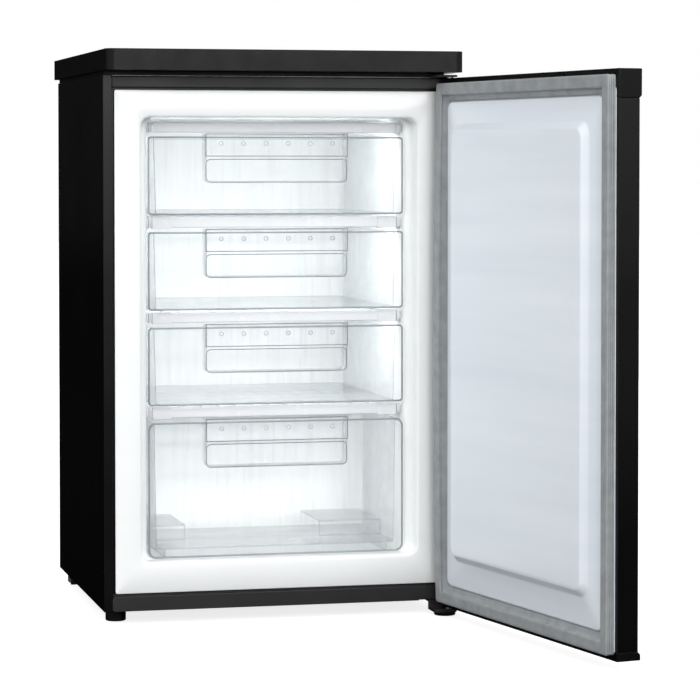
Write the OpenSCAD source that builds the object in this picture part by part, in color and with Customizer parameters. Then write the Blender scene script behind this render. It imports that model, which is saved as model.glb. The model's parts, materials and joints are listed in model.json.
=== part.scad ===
// Under-counter upright freezer with a side-hinged door and four clear drawers.
// Millimetres, +Z up, floor at z = 0. The front of the cabinet looks along -Y.
// All modules are drawn about the cabinet: x = 0 on its centre plane and y = 0 on
// its front face. placed() then moves them so that the origin is the middle of the
// whole footprint with the door open.

/* [Cabinet] */
// Width of the steel cabinet
cab_w = 540; // [480:1:600]
// Depth of the steel cabinet without worktop and door
cab_d = 484; // [460:1:560]
// Height from the floor to the top of the worktop
total_h = 860; // [840:1:1050]
// Clearance between the floor and the underside of the cabinet
base_gap = 21.5; // [20:0.5:30]
// Thickness of the painted steel sheet
sheet = 0.8; // [0.5:0.1:1.2]
// Width of the front return flange of each side panel
flange_w = 13; // [10:0.5:18]
// Depth of the groove behind the front face
groove_d = 8; // [6:0.5:12]
// Width of the dark groove between the steel and the inner liner
groove_w = 4.2; // [2:0.1:6]
// Height of the front rail above the liner
top_rail_h = 15.5; // [12:0.5:30]
// Height of the front rail below the liner
bottom_rail_h = 22.3; // [15:0.1:40]

/* [Worktop] */
// Height of the worktop edge
worktop_h = 31.5; // [25:0.5:45]
// How far the worktop stands out at each side
worktop_side = 2.5; // [1:0.5:8]
// How far the worktop reaches over the closed door
worktop_front = 50; // [50:0.5:60]
// How far the worktop reaches over the condenser
worktop_rear = 28; // [26:1:45]
// Radius of the front corners of the worktop
worktop_r = 13; // [6:0.5:25]
// Width of the moulded worktop surround
surround_w = 16; // [14:0.5:24]
// Thickness of the laminated board in the worktop
board_t = 18; // [14:0.5:22]
// Height of the step that seats the worktop on the cabinet
seat_h = 6.5; // [3.6:0.1:9]

/* [Storage space] */
// Thickness of the side insulation, steel to inner face of the liner
wall_side = 70; // [55:1:90]
// Distance from the cabinet top to the ceiling of the liner
wall_top = 62; // [50:1:80]
// Distance from the cabinet underside to the floor of the liner
wall_bottom = 72.6; // [60:0.1:90]
// Distance from the cabinet back to the inner back face
wall_back = 64; // [50:1:80]
// Thickness of the vacuum-formed liner
liner_t = 2; // [1.5:0.1:3]
// Corner radius of the storage opening
opening_r = 14; // [8:1:30]
// How much wider the mouth is than the space behind it, at each side
mouth_side = 13; // [8:0.5:16]
// Depth of the wide mouth
mouth_d = 33; // [28:0.5:36]
// Depth of the compressor compartment
machine_d = 158; // [154:1:180]
// Height of the compressor compartment above the cabinet underside
machine_h = 214; // [206:1:230]
// Insulation between the compressor compartment and the liner
wall_machine = 58; // [45:1:70]

/* [Evaporator shelves] */
// Gap from the ceiling to the top edge of the first shelf trim
first_trim_drop = 7; // [4:0.5:12]
// Height of a shelf trim
trim_h = 15.5; // [15:0.5:22]
// Vertical distance from one shelf to the next
shelf_pitch = 143.8; // [130:0.1:150]
// Outer diameter of the evaporator tube
evap_tube_d = 8; // [6:0.5:8]
// Diameter of the shelf wires
shelf_wire_d = 2; // [1.5:0.1:2.2]
// Length of a trim end clip
clip_len = 27; // [20:1:35]

/* [Drawers] */
// Setback of the drawer fronts behind the cabinet face
front_setback = 30; // [26:1:40]
// Thickness of the drawer front
front_t = 2.6; // [2:0.1:4]
// Wall thickness of the drawer tub
tub_t = 2; // [1.6:0.1:3]
// Length of an upper tub, front to back
tub_d = 350; // [300:1:360]
// Length of the lowest tub, which ends at the compressor step
low_tub_d = 218; // [190:1:225]
// How much each side of a tub leans in towards the floor
tub_taper = 3; // [1:0.5:6]
// Width of the drawer handle
handle_w = 220; // [160:1:280]
// Height of the lip above the finger pocket
lip_h = 34.5; // [25:0.5:40]
// Distance from the lip top to the bottom of the finger pocket
pocket_drop = 74; // [60:0.5:80]
// Depth of the finger pocket behind the front
pocket_d = 20; // [16:0.5:24]
// Radius of the lower corners of the finger pocket
pocket_r = 8; // [6:0.5:16]
// Number of round dimples along the lip
dimples = 6; // [3:1:8]
// Distance from dimple to dimple
dimple_pitch = 34.5; // [20:0.5:40]
// Diameter of a dimple
dimple_d = 6; // [4:0.5:9]
// How far a drawer slides out
drawer_travel = 300; // [200:1:320]
// Height of the raised blocks in the floor of the lowest tub
block_h = 26; // [15:1:35]

/* [Door] */
// Thickness of the door without liner and gasket
door_t = 32; // [28:0.5:40]
// Height of the upper end cap
top_cap_h = 40.5; // [34:0.5:55]
// Height of the lower end cap
bottom_cap_h = 12; // [12:0.5:30]
// How far the end caps flare beyond the door face
cap_flare = 4; // [2:0.5:6]
// Gap between the top of the door and the top hinge plate
door_gap = 2; // [2:0.5:5]
// Opening angle of the door as drawn
door_open = 100.75; // [0:0.25:110]
// Widest opening angle of the door
door_stop = 110; // [100:1:110]
// Distance of the hinge axis from the hinge edge of the door
hinge_in = 13; // [12:0.5:16]
// Distance of the hinge axis behind the inner face of the door
hinge_deep = 7; // [7:0.5:9]
// Thickness of the compressed gasket
gasket_t = 13; // [11:0.5:18]
// Width of the gasket
gasket_w = 27; // [22:0.5:34]
// Border between the door edge and the gasket
gasket_in = 8; // [8:0.5:14]
// Height of the raised panel of the door liner
panel_rise = 20; // [14:0.5:24]
// Clearance between the raised panel and the mouth of the storage space
panel_gap = 8; // [6:0.5:20]
// Width of the sloping edge of the raised panel
panel_lean = 15; // [8:0.5:24]
// Width of the finger grip in the upper end cap
grip_w = 130; // [90:1:200]

/* [Hinges and feet] */
// Radius of the hinge pins
pin_r = 4; // [3:0.1:4.2]
// Thickness of the top hinge plate
plate_t = 3; // [2.5:0.1:3.2]
// Thickness of the bottom hinge bracket
bracket_t = 4.5; // [3:0.1:5]
// Width of the hinge plates
plate_w = 36; // [34:1:50]
// Radius of the left levelling foot
left_foot_r = 15.5; // [12:0.5:18]
// Radius of the right levelling foot
right_foot_r = 16.5; // [12:0.5:18]
// Radius of the levelling stud
stud_r = 5; // [4:0.1:6]
// Travel of a levelling foot
foot_travel = 8; // [5:1:12]
// Radius of the rear rollers
roller_r = 10; // [8:0.5:10]
// Width of the rear rollers
roller_w = 10; // [7:0.5:14]

/* [Cooling] */
// Radius of the compressor shell
comp_r = 60; // [50:1:62]
// Height of the compressor shell
comp_h = 128; // [110:1:140]
// Diameter of the condenser tube
cond_tube_d = 5; // [4:0.5:6]
// Distance from one condenser tube run to the next
cond_pitch = 48; // [40:1:60]
// Number of condenser tube runs
cond_runs = 11; // [7:2:11]
// Number of condenser wires on each side
cond_wires = 24; // [16:1:32]

/* [Fits] */
// Radial clearance of a turning fit
fit = 0.08; // [0.05:0.01:0.1]
// Clearance between pieces that are pushed together
slip = 0.3; // [0.2:0.1:0.6]
// Gap between the shut door's gasket and the cabinet face
seal_gap = 1; // [1:0.1:3]

/* [Hidden] */

$fn = 48;
hull_fn = 32;
eps = 0.01;

// Cabinet planes
half_w = cab_w / 2;
cab_top = total_h - worktop_h - seat_h;
flange_x = half_w - flange_w;
border_x = flange_x - groove_w;
top_rail_top = cab_top - 2;
top_rail_low = top_rail_top - top_rail_h;
bottom_rail_top = base_gap + bottom_rail_h;
border_top = top_rail_low - groove_w;
border_low = bottom_rail_top + groove_w;
border_y = 0.5;
machine_front = cab_d - machine_d;
machine_top = base_gap + machine_h;
machine_cut = 22;

// Storage space
cav_x = half_w - wall_side;
cav_top = cab_top - wall_top;
cav_low = base_gap + wall_bottom;
cav_back = cab_d - wall_back;
mouth_x = cav_x + mouth_side;
cav_mid = (cav_top + cav_low) / 2;
cav_h = cav_top - cav_low;
step_y = machine_front - wall_machine;
step_z = machine_top + wall_machine * 0.62;
step_run = 44;

// Evaporator shelves
shelves = 4;
trim_y = front_setback + 12;
trim_d = 11;
trim_x = cav_x - 12;
ledge_x = 7;
tube_r = evap_tube_d / 2;
wire_r = shelf_wire_d / 2;
evap_front = trim_y + 24;
evap_rear = cav_back - 16;
evap_runs = 6;
evap_pitch = (evap_rear - evap_front) / (evap_runs - 1);
evap_half = cav_x - ledge_x + 4 - evap_pitch / 2 - tube_r;
shelf_wires = 15;

// Drawers
front_x = cav_x - 2;
tub_x = cav_x - 10.5;
drawer_gap = 4;
front_drop = 6;
lip_drop = 1.5;
lip_out = 3;
low_floor = cav_low + 14;
low_skirt = cav_low + 1.2;
pocket_wall = 1.8;
block_y = 118;
block_left_w = 60;
block_right_w = 100;

// Door
door_in = -(gasket_t + seal_gap);
door_out = door_in - door_t;
door_top = cab_top - door_gap;
door_low = base_gap - 7;
hinge_x = half_w - hinge_in;
hinge_y = door_in - hinge_deep;
skin_top = door_top - top_cap_h;
skin_low = door_low + bottom_cap_h;
gasket_x = half_w - gasket_in;
gasket_top = door_top - gasket_in;
gasket_low = door_low + gasket_in;
panel_x = mouth_x - panel_gap - 6;
panel_top = cav_top - panel_gap - 12;
panel_low = cav_low + panel_gap;
inner_lip = gasket_in - 1;
liner_back = 1.5;
magnet_w = 8;
magnet_t = 3;
grip_x = -half_w + 40;
grip_h = 22;
grip_d = 15;

// Hinges and feet
pin_len = 16;
bracket_drop = 3;
bush_r = pin_r + 2.5;
bracket_low = door_low - bracket_drop - bracket_t;
screw_r = 2.4;
screw_head_r = 4.6;
screw_head_h = 2.4;
screw_len = 18;
plate_x = half_w - 2 - plate_w;
plate_front = hinge_y - 12;
plate_rear = 46;
screw_in = 10;
left_foot_x = -half_w + 26;
left_foot_y = 58;
right_foot_x = half_w - 16;
right_foot_y = hinge_y + 11;
crank_y = 2;
insert_r = 12;
insert_h = 22;
roller_x = half_w - 15;
roller_y = cab_d - 57;
axle_r = 2.5;

// Cooling
comp_x = 70;
comp_y = machine_front + sheet + machine_d / 2;
comp_feet_z = base_gap + 11;
comp_low = comp_feet_z + 4;
comp_feet_x = 78;
comp_feet_y = 46;
weld_out = 2.5;
cond_r = cond_tube_d / 2;
cond_half = 205;
cond_y = cab_d + 14;
cond_low = machine_top + 40;
cond_wire_r = 0.8;
cond_top = cond_low + (cond_runs - 1) * cond_pitch;
drier_x = -60;
drier_r = 9;
drier_y = machine_front + 60;
suction_x = comp_x + 30;
gland_x = -120;
gland_z = base_gap + 60;
knob_r = 17;
knob_h = 15;
thermo_x = -205;
thermo_z = machine_top - 66;
thermo_w = 76;
thermo_d = 46;
thermo_h = 60;
knob_y = cab_d - 6;

// Footprint with the door open
function swing(x, y) = [
    hinge_x + (x - hinge_x) * cos(door_open) - (y - hinge_y) * sin(door_open),
    hinge_y + (x - hinge_x) * sin(door_open) + (y - hinge_y) * cos(door_open)];
free_outer = swing(-half_w, door_out - cap_flare);
free_inner = swing(-half_w, door_in);
origin_x = (max(free_outer[0], half_w + worktop_side) - half_w - worktop_side) / 2;
origin_y = (min(free_outer[1], free_inner[1], -worktop_front) + cab_d + worktop_rear) / 2;

module placed() {
    translate([-origin_x, -origin_y, 0]) children();
}

module swung() {
    translate([hinge_x, hinge_y, 0])
        rotate([0, 0, door_open])
            translate([-hinge_x, -hinge_y, 0])
                children();
}

// A box between two corners
module span(a, b) {
    translate(a) cube(b - a);
}

// A profile drawn in x and z, carried from y0 to y1
module along_y(y0, y1) {
    translate([0, y1, 0]) rotate([90, 0, 0]) linear_extrude(y1 - y0) children();
}

// A profile drawn in y and z, carried from x0 to x1
module along_x(x0, x1) {
    translate([x0, 0, 0]) rotate([90, 0, 90]) linear_extrude(x1 - x0) children();
}

module rod_x(r, x0, x1, y, z) {
    translate([x0, y, z]) rotate([0, 90, 0]) cylinder(r = r, h = x1 - x0, $fn = 24);
}

module rod_y(r, y0, y1, x, z) {
    translate([x, y1, z]) rotate([90, 0, 0]) cylinder(r = r, h = y1 - y0, $fn = 24);
}

module rod_z(r, z0, z1, x, y) {
    translate([x, y, z0]) cylinder(r = r, h = z1 - z0);
}

// Rectangle between two corners with round corners
module soft_rect(x0, y0, x1, y1, r) {
    translate([x0 + r, y0]) square([x1 - x0 - 2 * r, y1 - y0]);
    translate([x0, y0 + r]) square([x1 - x0, y1 - y0 - 2 * r]);
    for (x = [x0 + r, x1 - r], y = [y0 + r, y1 - r])
        translate([x, y]) circle(r);
}

// Tube that runs to and fro along x, its runs stacked along y
module serpentine(runs, pitch, half, r) {
    for (i = [0 : runs - 1])
        rod_x(r, -half, half, i * pitch, 0);
    for (i = [0 : runs - 2])
        translate([i % 2 == 0 ? half : -half, (i + 0.5) * pitch, 0])
            rotate([0, 0, i % 2 == 0 ? -90 : 90])
                rotate_extrude(angle = 180, $fn = 32)
                    translate([pitch / 2, 0]) circle(r, $fn = 24);
}

// ---- Worktop ----

worktop_x = half_w + worktop_side;
worktop_y1 = cab_d + worktop_rear;
worktop_low = total_h - worktop_h;
board_low = total_h - board_t;

module worktop_outline(inset) {
    r = max(worktop_r - inset, 2);
    x = worktop_x - inset;
    y0 = -worktop_front + inset;
    y1 = worktop_y1 - inset;
    translate([-x, y0 + r]) square([2 * x, y1 - y0 - r]);
    translate([-x + r, y0]) square([2 * (x - r), y1 - y0]);
    for (side = [-1, 1])
        translate([side * (x - r), y0 + r]) circle(r);
}

module hinge_slot() {
    span([plate_x - 1, -sheet, cab_top - 1], [half_w, plate_rear + 1, worktop_low + eps]);
}

module worktop_surround() {
    color("#161616") placed() {
        difference() {
            translate([0, 0, worktop_low]) linear_extrude(worktop_h) worktop_outline(0);
            translate([0, 0, board_low]) linear_extrude(worktop_h) worktop_outline(surround_w);
            translate([0, 0, worktop_low - 1])
                linear_extrude(worktop_h)
                    worktop_outline(surround_w + 8);
        }
        difference() {
            span([-half_w + 2, 0, cab_top], [half_w - 2, cab_d, worktop_low]);
            span([-half_w + 40, 36, cab_top - 1], [half_w - 40, cab_d - 30, worktop_low + 1]);
            hinge_slot();
        }
    }
}

module worktop_board() {
    color("#1d1d1d") placed()
        translate([0, 0, board_low]) linear_extrude(board_t - 0.6) worktop_outline(surround_w + slip);
}

// ---- Steel shell ----

// One side panel with its front flange, the groove wall and the lip behind the liner
module side_panel(side) {
    mirror([side < 0 ? 1 : 0, 0, 0]) {
        span([half_w - sheet, 0, base_gap], [half_w, cab_d, cab_top]);
        span([flange_x, 0, base_gap], [half_w, sheet, cab_top]);
        span([flange_x, 0, base_gap], [flange_x + sheet, groove_d, cab_top]);
        span([border_x - 4, groove_d - sheet, bottom_rail_top + groove_w],
            [flange_x + sheet, groove_d, top_rail_low - groove_w]);
        span([half_w - 14, cab_d - sheet, base_gap + 2 * sheet], [half_w, cab_d, machine_top - sheet]);
    }
}

module side_panel_left() {
    color("#0c0c0c") placed() side_panel(-1);
}

module side_panel_right() {
    color("#0c0c0c") placed() side_panel(1);
}

module top_plate() {
    color("#2a2a2a") placed() difference() {
        span([-half_w + sheet, sheet, cab_top - sheet], [half_w - sheet, cab_d - sheet, cab_top]);
        span([-half_w, 0, cab_top - 2], [-flange_x + 2 * sheet, groove_d + sheet, cab_top + 1]);
        span([flange_x - 2 * sheet, 0, cab_top - 2], [half_w, groove_d + sheet, cab_top + 1]);
        hinge_screw_shafts(screw_r + slip);
    }
}

// A rail is a channel that is open to the back, with a lip behind the liner's edge
module rail(low, high, lip_low, lip_high) {
    difference() {
        span([-border_x - 3, 0, low], [border_x + 3, groove_d, high]);
        span([-cab_w, 1.2, low + 1.2], [cab_w, cab_d, high - 1.2]);
    }
    span([-border_x - 3, groove_d - 1, lip_low], [border_x + 3, groove_d, lip_high]);
}

module top_rail() {
    color("#181818") placed() difference() {
        rail(top_rail_low, top_rail_top, border_top, top_rail_low + 4);
        hinge_screw_shafts(screw_r + slip);
    }
}

module bottom_rail() {
    color("#202020") placed() difference() {
        rail(base_gap, bottom_rail_top, bottom_rail_top - 4, border_low);
        span([flange_x - sheet - 40, -1, base_gap - 1], [half_w, 7, base_gap + 2]);
    }
}

module back_panel() {
    color("#3a3c3e") placed()
        span([-half_w + sheet, cab_d - sheet, machine_top], [half_w - sheet, cab_d, cab_top - sheet]);
}

// Folded pan: cabinet underside, then up and over the compressor compartment
module pan_line(grow) {
    polygon([
        [groove_d + 1, base_gap - grow], [machine_front + sheet + grow, base_gap - grow],
        [machine_front + sheet + grow, machine_top - machine_cut],
        [machine_front + machine_cut + grow, machine_top - grow],
        [cab_d - sheet, machine_top - grow], [cab_d - sheet, machine_top + sheet],
        [machine_front + machine_cut, machine_top + sheet],
        [machine_front, machine_top - machine_cut + sheet],
        [machine_front, base_gap + sheet], [groove_d + 1, base_gap + sheet]]);
}

module base_pan() {
    color("#55585a") placed() difference() {
        along_x(-half_w + sheet, half_w - sheet) pan_line(0);
        rod_z(insert_r + slip, base_gap - 1, base_gap + insert_h, left_foot_x, left_foot_y);
        bracket_screw_shafts(screw_r + slip);
    }
}

// ---- Insulation and liner ----

// Side view of the storage space, grown outwards by t
module storage_side(t) {
    polygon([
        [-20, cav_low - t], [step_y + t, cav_low - t],
        [step_y + t, step_z - step_run - t * 0.4], [step_y + step_run + t * 0.4, step_z - t],
        [cav_back + t, step_z - t], [cav_back + t, cav_top + t], [-20, cav_top + t]]);
}

module storage_volume(t) {
    intersection() {
        along_x(-cav_x - t, cav_x + t) storage_side(t);
        along_y(-10, cab_d) soft_rect(-cav_x - t, cav_low - t, cav_x + t, cav_top + t, opening_r + t);
    }
}

module insulation_foam() {
    color("#e9dfb8") placed() difference() {
        union() {
            along_x(-half_w + sheet, half_w - sheet)
                polygon([
                    [groove_d, base_gap + sheet], [machine_front, base_gap + sheet],
                    [machine_front, machine_top - machine_cut + sheet],
                    [machine_front + machine_cut, machine_top + sheet],
                    [cab_d - sheet, machine_top + sheet], [cab_d - sheet, cab_top - sheet],
                    [groove_d, cab_top - sheet]]);
            span([-border_x + 5, border_y + liner_t, border_low + 5],
                [border_x - 5, groove_d, border_top - 5]);
        }
        storage_volume(liner_t);
        storage_mouth(liner_t);
        rod_z(insert_r + slip, base_gap - 1, base_gap + insert_h + 1, left_foot_x, left_foot_y);
        hinge_screw_shafts(screw_r + slip);
        bracket_screw_shafts(screw_r + slip);
    }
}

function trim_top(i) = cav_top - first_trim_drop - i * shelf_pitch;
function trim_low(i) = trim_top(i) - trim_h;
function tube_z(i) = trim_top(i) - 1.5 - shelf_wire_d - tube_r;

// Supports on the side walls that carry the evaporator shelves
module liner_ledges() {
    for (i = [0 : shelves - 1], side = [-1, 1])
        translate([side * (cav_x - ledge_x / 2), 0, 0])
            span([-ledge_x / 2 - eps, trim_y + trim_d + 2, tube_z(i) - tube_r - wire_r * 2 - 7],
                [ledge_x / 2 + eps, cav_back - 20, tube_z(i) - tube_r - wire_r * 2 - slip]);
}

// Wide mouth in front of the storage space, grown outwards by t
module storage_mouth(t) {
    along_y(-20, mouth_d + t)
        soft_rect(-mouth_x - t, cav_low - t, mouth_x + t, cav_top + t, opening_r + t);
}

module inner_liner() {
    color("#f4f6f7") placed() {
        difference() {
            union() {
                storage_volume(liner_t);
                storage_mouth(liner_t);
                along_y(border_y, border_y + liner_t)
                    soft_rect(-border_x, border_low, border_x, border_top, 3);
            }
            storage_volume(0);
            storage_mouth(0);
            along_y(-60, border_y) square(4 * total_h, center = true);
        }
        liner_ledges();
    }
}

// ---- Evaporator shelves ----

module evaporator_tube() {
    color("#cfd4d6") placed() {
        for (i = [0 : shelves - 1])
            translate([0, evap_front, tube_z(i)]) serpentine(evap_runs, evap_pitch, evap_half, tube_r);
        for (i = [0 : shelves - 2])
            rod_z(tube_r, tube_z(i + 1), tube_z(i), i % 2 == 0 ? -evap_half : -evap_half + 18, evap_rear);
    }
}

module evaporator_wires() {
    span_x = trim_x - 3;
    color("#e3e6e8") placed()
        for (i = [0 : shelves - 1], k = [0 : shelf_wires - 1])
            rod_y(wire_r, trim_y + trim_d - 3, evap_rear - tube_r - 6,
                -span_x + k * 2 * span_x / (shelf_wires - 1), tube_z(i) + tube_r + wire_r);
}

// A trim is a channel that hooks over the front of an evaporator shelf
module shelf_trim(i) {
    color("#fafbfb") placed() difference() {
        along_x(-trim_x, trim_x) soft_rect(trim_y, trim_low(i), trim_y + trim_d, trim_top(i), 2);
        span([-cav_x, trim_y + 2, trim_low(i) + 2], [cav_x, cav_back, trim_top(i) - 1.2]);
    }
}

module shelf_trim_1() {
    shelf_trim(0);
}

module shelf_trim_2() {
    shelf_trim(1);
}

module shelf_trim_3() {
    shelf_trim(2);
}

module shelf_trim_4() {
    shelf_trim(3);
}

// Clips over both ends of the lower trims
module trim_clips() {
    color("#ffffff") placed()
        for (i = [1 : shelves - 1], side = [-1, 1])
            mirror([side < 0 ? 1 : 0, 0, 0])
                difference() {
                    span([trim_x - clip_len, trim_y - 1.4, trim_low(i) - 1.4],
                        [trim_x + 1.4, trim_y + trim_d - 2, trim_top(i) + 1.2]);
                    span([trim_x - clip_len - 1, trim_y - slip / 3, trim_low(i) - slip / 3],
                        [trim_x + slip / 3, trim_y + trim_d + 1, trim_top(i) + slip / 3]);
                }
}

// ---- Hinges ----

module hinge_screw_places() {
    for (x = [plate_x + screw_in, half_w - 2 - screw_in], y = [20, 38])
        translate([x, y, 0]) children();
}

module hinge_screw_shafts(r) {
    hinge_screw_places()
        translate([0, 0, cab_top - screw_len - 1]) cylinder(r = r, h = screw_len + plate_t + 2);
}

module bracket_screw_places() {
    for (x = [plate_x + screw_in, half_w - 2 - screw_in])
        translate([x, 52, 0]) children();
}

module bracket_screw_shafts(r) {
    bracket_screw_places()
        translate([0, 0, base_gap - plate_t - 2]) cylinder(r = r, h = screw_len + plate_t + 2);
}

module top_hinge_plate() {
    color("#262626") placed() difference() {
        translate([0, 0, cab_top]) linear_extrude(plate_t)
            soft_rect(plate_x, plate_front, half_w - 2, plate_rear, 6);
        rod_z(pin_r, cab_top - 1, cab_top + plate_t + 1, hinge_x, hinge_y);
        hinge_screw_places() {
            translate([0, 0, cab_top - 1]) cylinder(r = screw_r + slip, h = plate_t + 2);
            translate([0, 0, cab_top + plate_t - screw_head_h])
                cylinder(r = screw_head_r + slip, h = plate_t);
        }
    }
}

module top_hinge_pin() {
    color("#b9bcbe") placed() rod_z(pin_r, cab_top - pin_len, cab_top + plate_t, hinge_x, hinge_y);
}

// Cranked bracket: it reaches out below the door, carries the pin and the right foot
module bottom_hinge_bracket() {
    color("#1a1a1a") placed() difference() {
        union() {
            translate([0, 0, bracket_low]) linear_extrude(bracket_t)
                soft_rect(plate_x, plate_front, half_w - 2, crank_y + bracket_t, 6);
            span([plate_x, crank_y, bracket_low], [half_w - 2, crank_y + bracket_t, base_gap]);
            span([plate_x, crank_y, base_gap - plate_t], [half_w - 2, 62, base_gap]);
        }
        rod_z(pin_r, bracket_low - 1, base_gap + 1, hinge_x, hinge_y);
        rod_z(stud_r + fit, bracket_low - 1, base_gap + 1, right_foot_x, right_foot_y);
        bracket_screw_places() {
            translate([0, 0, base_gap - plate_t - 1]) cylinder(r = screw_r + slip, h = plate_t + 2);
            translate([0, 0, base_gap - plate_t - 1])
                cylinder(r = screw_head_r + slip, h = 1 + screw_head_h);
        }
    }
}

module bottom_hinge_pin() {
    color("#b9bcbe") placed()
        rod_z(pin_r, bracket_low, door_low + bottom_cap_h - 2.4, hinge_x, hinge_y);
}

module hinge_screws() {
    color("#c9ccce") placed() {
        hinge_screw_places() {
            translate([0, 0, cab_top - screw_len]) cylinder(r = screw_r, h = screw_len + plate_t);
            translate([0, 0, cab_top + plate_t - screw_head_h])
                cylinder(r = screw_head_r, h = screw_head_h);
        }
        bracket_screw_places() {
            translate([0, 0, base_gap - plate_t]) cylinder(r = screw_r, h = screw_len - 3);
            translate([0, 0, base_gap - plate_t]) cylinder(r = screw_head_r, h = screw_head_h);
        }
    }
}

// ---- Feet and rollers ----

// Threaded insert in the cabinet underside that the left foot screws into
module foot_insert() {
    color("#303030") placed() difference() {
        rod_z(insert_r, base_gap - 0.6, base_gap + insert_h, left_foot_x, left_foot_y);
        rod_z(stud_r + fit, base_gap - 2, base_gap + insert_h - 3, left_foot_x, left_foot_y);
    }
}

module foot(r, pad_h, stud_top) {
    cylinder(r1 = r - 1.2, r2 = r, h = 1.2);
    translate([0, 0, 1.2]) cylinder(r = r, h = pad_h - 1.2);
    cylinder(r = stud_r, h = stud_top);
}

module foot_left() {
    color("#0e0e0e") placed()
        translate([left_foot_x, left_foot_y, 0])
            foot(left_foot_r, base_gap - 1.6, base_gap + insert_h - 4);
}

module foot_right() {
    color("#0e0e0e") placed()
        translate([right_foot_x, right_foot_y, 0])
            foot(right_foot_r, bracket_low - 1, bracket_low + bracket_t + 1);
}

module both_rollers() {
    for (side = [-1, 1])
        translate([side * roller_x, roller_y, roller_r]) rotate([0, 90, 0]) children();
}

module roller_brackets() {
    cheek = 2.4;
    reach = roller_w / 2 + 1;
    color("#3b3b3b") placed() difference() {
        for (side = [-1, 1])
            translate([side * roller_x, 0, 0]) difference() {
                span([-reach - cheek, roller_y - 9, roller_r - 5],
                    [reach + cheek, roller_y + 9, base_gap]);
                span([-reach, roller_y - 20, roller_r - 6], [reach, roller_y + 20, base_gap - 0.6]);
            }
        both_rollers() cylinder(r = axle_r, h = 60, center = true);
    }
}

module roller_axles() {
    color("#b9bcbe") placed()
        both_rollers() cylinder(r = axle_r, h = roller_w + 6.8, center = true);
}

module roller(side) {
    color("#6b6d6e") placed()
        translate([side * roller_x, roller_y, roller_r]) rotate([0, 90, 0]) difference() {
            cylinder(r = roller_r, h = roller_w, center = true);
            cylinder(r = axle_r + fit, h = roller_w + 2, center = true);
        }
}

module roller_left() {
    roller(-1);
}

module roller_right() {
    roller(1);
}

// ---- Cooling machine ----

module comp_foot_places() {
    for (sx = [-1, 1], sy = [-1, 1])
        translate([comp_x + sx * comp_feet_x, comp_y + sy * comp_feet_y, 0]) children();
}

module compressor_plate() {
    color("#46494b") placed() difference() {
        union() {
            span([-half_w + sheet, machine_front + sheet, base_gap],
                [half_w - sheet, cab_d, base_gap + 1.5]);
            for (y = [machine_front + sheet, cab_d - 1.5])
                span([-half_w + 16, y, base_gap], [half_w - 16, y + 1.5, base_gap + 9]);
        }
        comp_foot_places()
            translate([0, 0, base_gap - 1]) cylinder(r = 3 + slip, h = 6);
    }
}

module compressor_grommets() {
    color("#1b1b1b") placed()
        comp_foot_places() difference() {
            translate([0, 0, base_gap + 1.5]) cylinder(r = 10, h = comp_feet_z - base_gap - 1.5);
            translate([0, 0, base_gap]) cylinder(r = 3 + slip, h = 20);
        }
}

module compressor_bolts() {
    color("#c3c6c8") placed()
        comp_foot_places() {
            translate([0, 0, base_gap - 4]) cylinder(r = 3, h = comp_feet_z + 9 - base_gap + 4);
            translate([0, 0, comp_feet_z + 3]) cylinder(r = 6.5, h = 4, $fn = 6);
            translate([0, 0, base_gap - 4]) cylinder(r = 6.5, h = 4, $fn = 6);
        }
}

// Welded shell on a foot plate, with the three tube stubs and the terminal cover's seat
module compressor_shell() {
    dome = comp_r * 0.42;
    color("#141414") placed() {
        translate([comp_x, comp_y, comp_low]) {
            translate([0, 0, dome]) cylinder(r = comp_r, h = comp_h - 2 * dome);
            for (z = [dome, comp_h - dome])
                translate([0, 0, z]) rotate_extrude() difference() {
                    dome_outline(dome);
                    translate([-comp_r - 1, -comp_r]) square([comp_r + 1, 2 * comp_r]);
                }
            translate([0, 0, comp_h * 0.52]) cylinder(r = comp_r + weld_out, h = 3);
        }
        difference() {
            translate([comp_x, comp_y, comp_feet_z]) linear_extrude(3)
                soft_rect(-comp_feet_x - 12, -comp_feet_y - 10, comp_feet_x + 12, comp_feet_y + 10, 10);
            comp_foot_places()
                translate([0, 0, comp_feet_z - 1]) cylinder(r = 3 + slip, h = 6);
        }
        rod_z(26, comp_feet_z, comp_low + 12, comp_x, comp_y);
    }
}

// Lens-shaped outline of the shell ends: two shallow arcs that meet at the shell's radius
module dome_outline(dome) {
    big = (comp_r * comp_r + dome * dome) / (2 * dome);
    intersection() {
        translate([0, big - dome]) circle(big, $fn = 96);
        translate([0, dome - big]) circle(big, $fn = 96);
    }
}

module relay_cover() {
    color("#2c2c2c") placed()
        span([comp_x - comp_r - weld_out - 32, comp_y - 28, comp_low + 26],
            [comp_x - comp_r - weld_out - slip, comp_y + 28, comp_low + 84]);
}

module condenser_tube() {
    color("#101010") placed() {
        translate([0, cond_y, cond_low]) rotate([90, 0, 0])
            serpentine(cond_runs, cond_pitch, cond_half - cond_pitch / 2, cond_r);
        rod_z(cond_r, base_gap + 120, cond_low, -cond_half + cond_pitch / 2, cond_y);
    }
}

module condenser_wires() {
    reach = cond_half - 12;
    color("#101010") placed()
        for (side = [-1, 1], k = [0 : cond_wires - 1])
            rod_z(cond_wire_r, cond_low - 12, cond_top + 12,
                -reach + k * 2 * reach / (cond_wires - 1),
                cond_y + side * (cond_r + cond_wire_r));
}

// Stand-offs that hold the condenser clear of the back panel
module condenser_brackets() {
    color("#202020") placed() difference() {
        for (x = [-cond_half + 60, cond_half - 60], k = [0, cond_runs - 1])
            span([x - 8, cab_d, cond_low + k * cond_pitch - 6],
                [x + 8, cond_y - cond_r - 2 * cond_wire_r - 0.4, cond_low + k * cond_pitch + 6]);
    }
}

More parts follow.
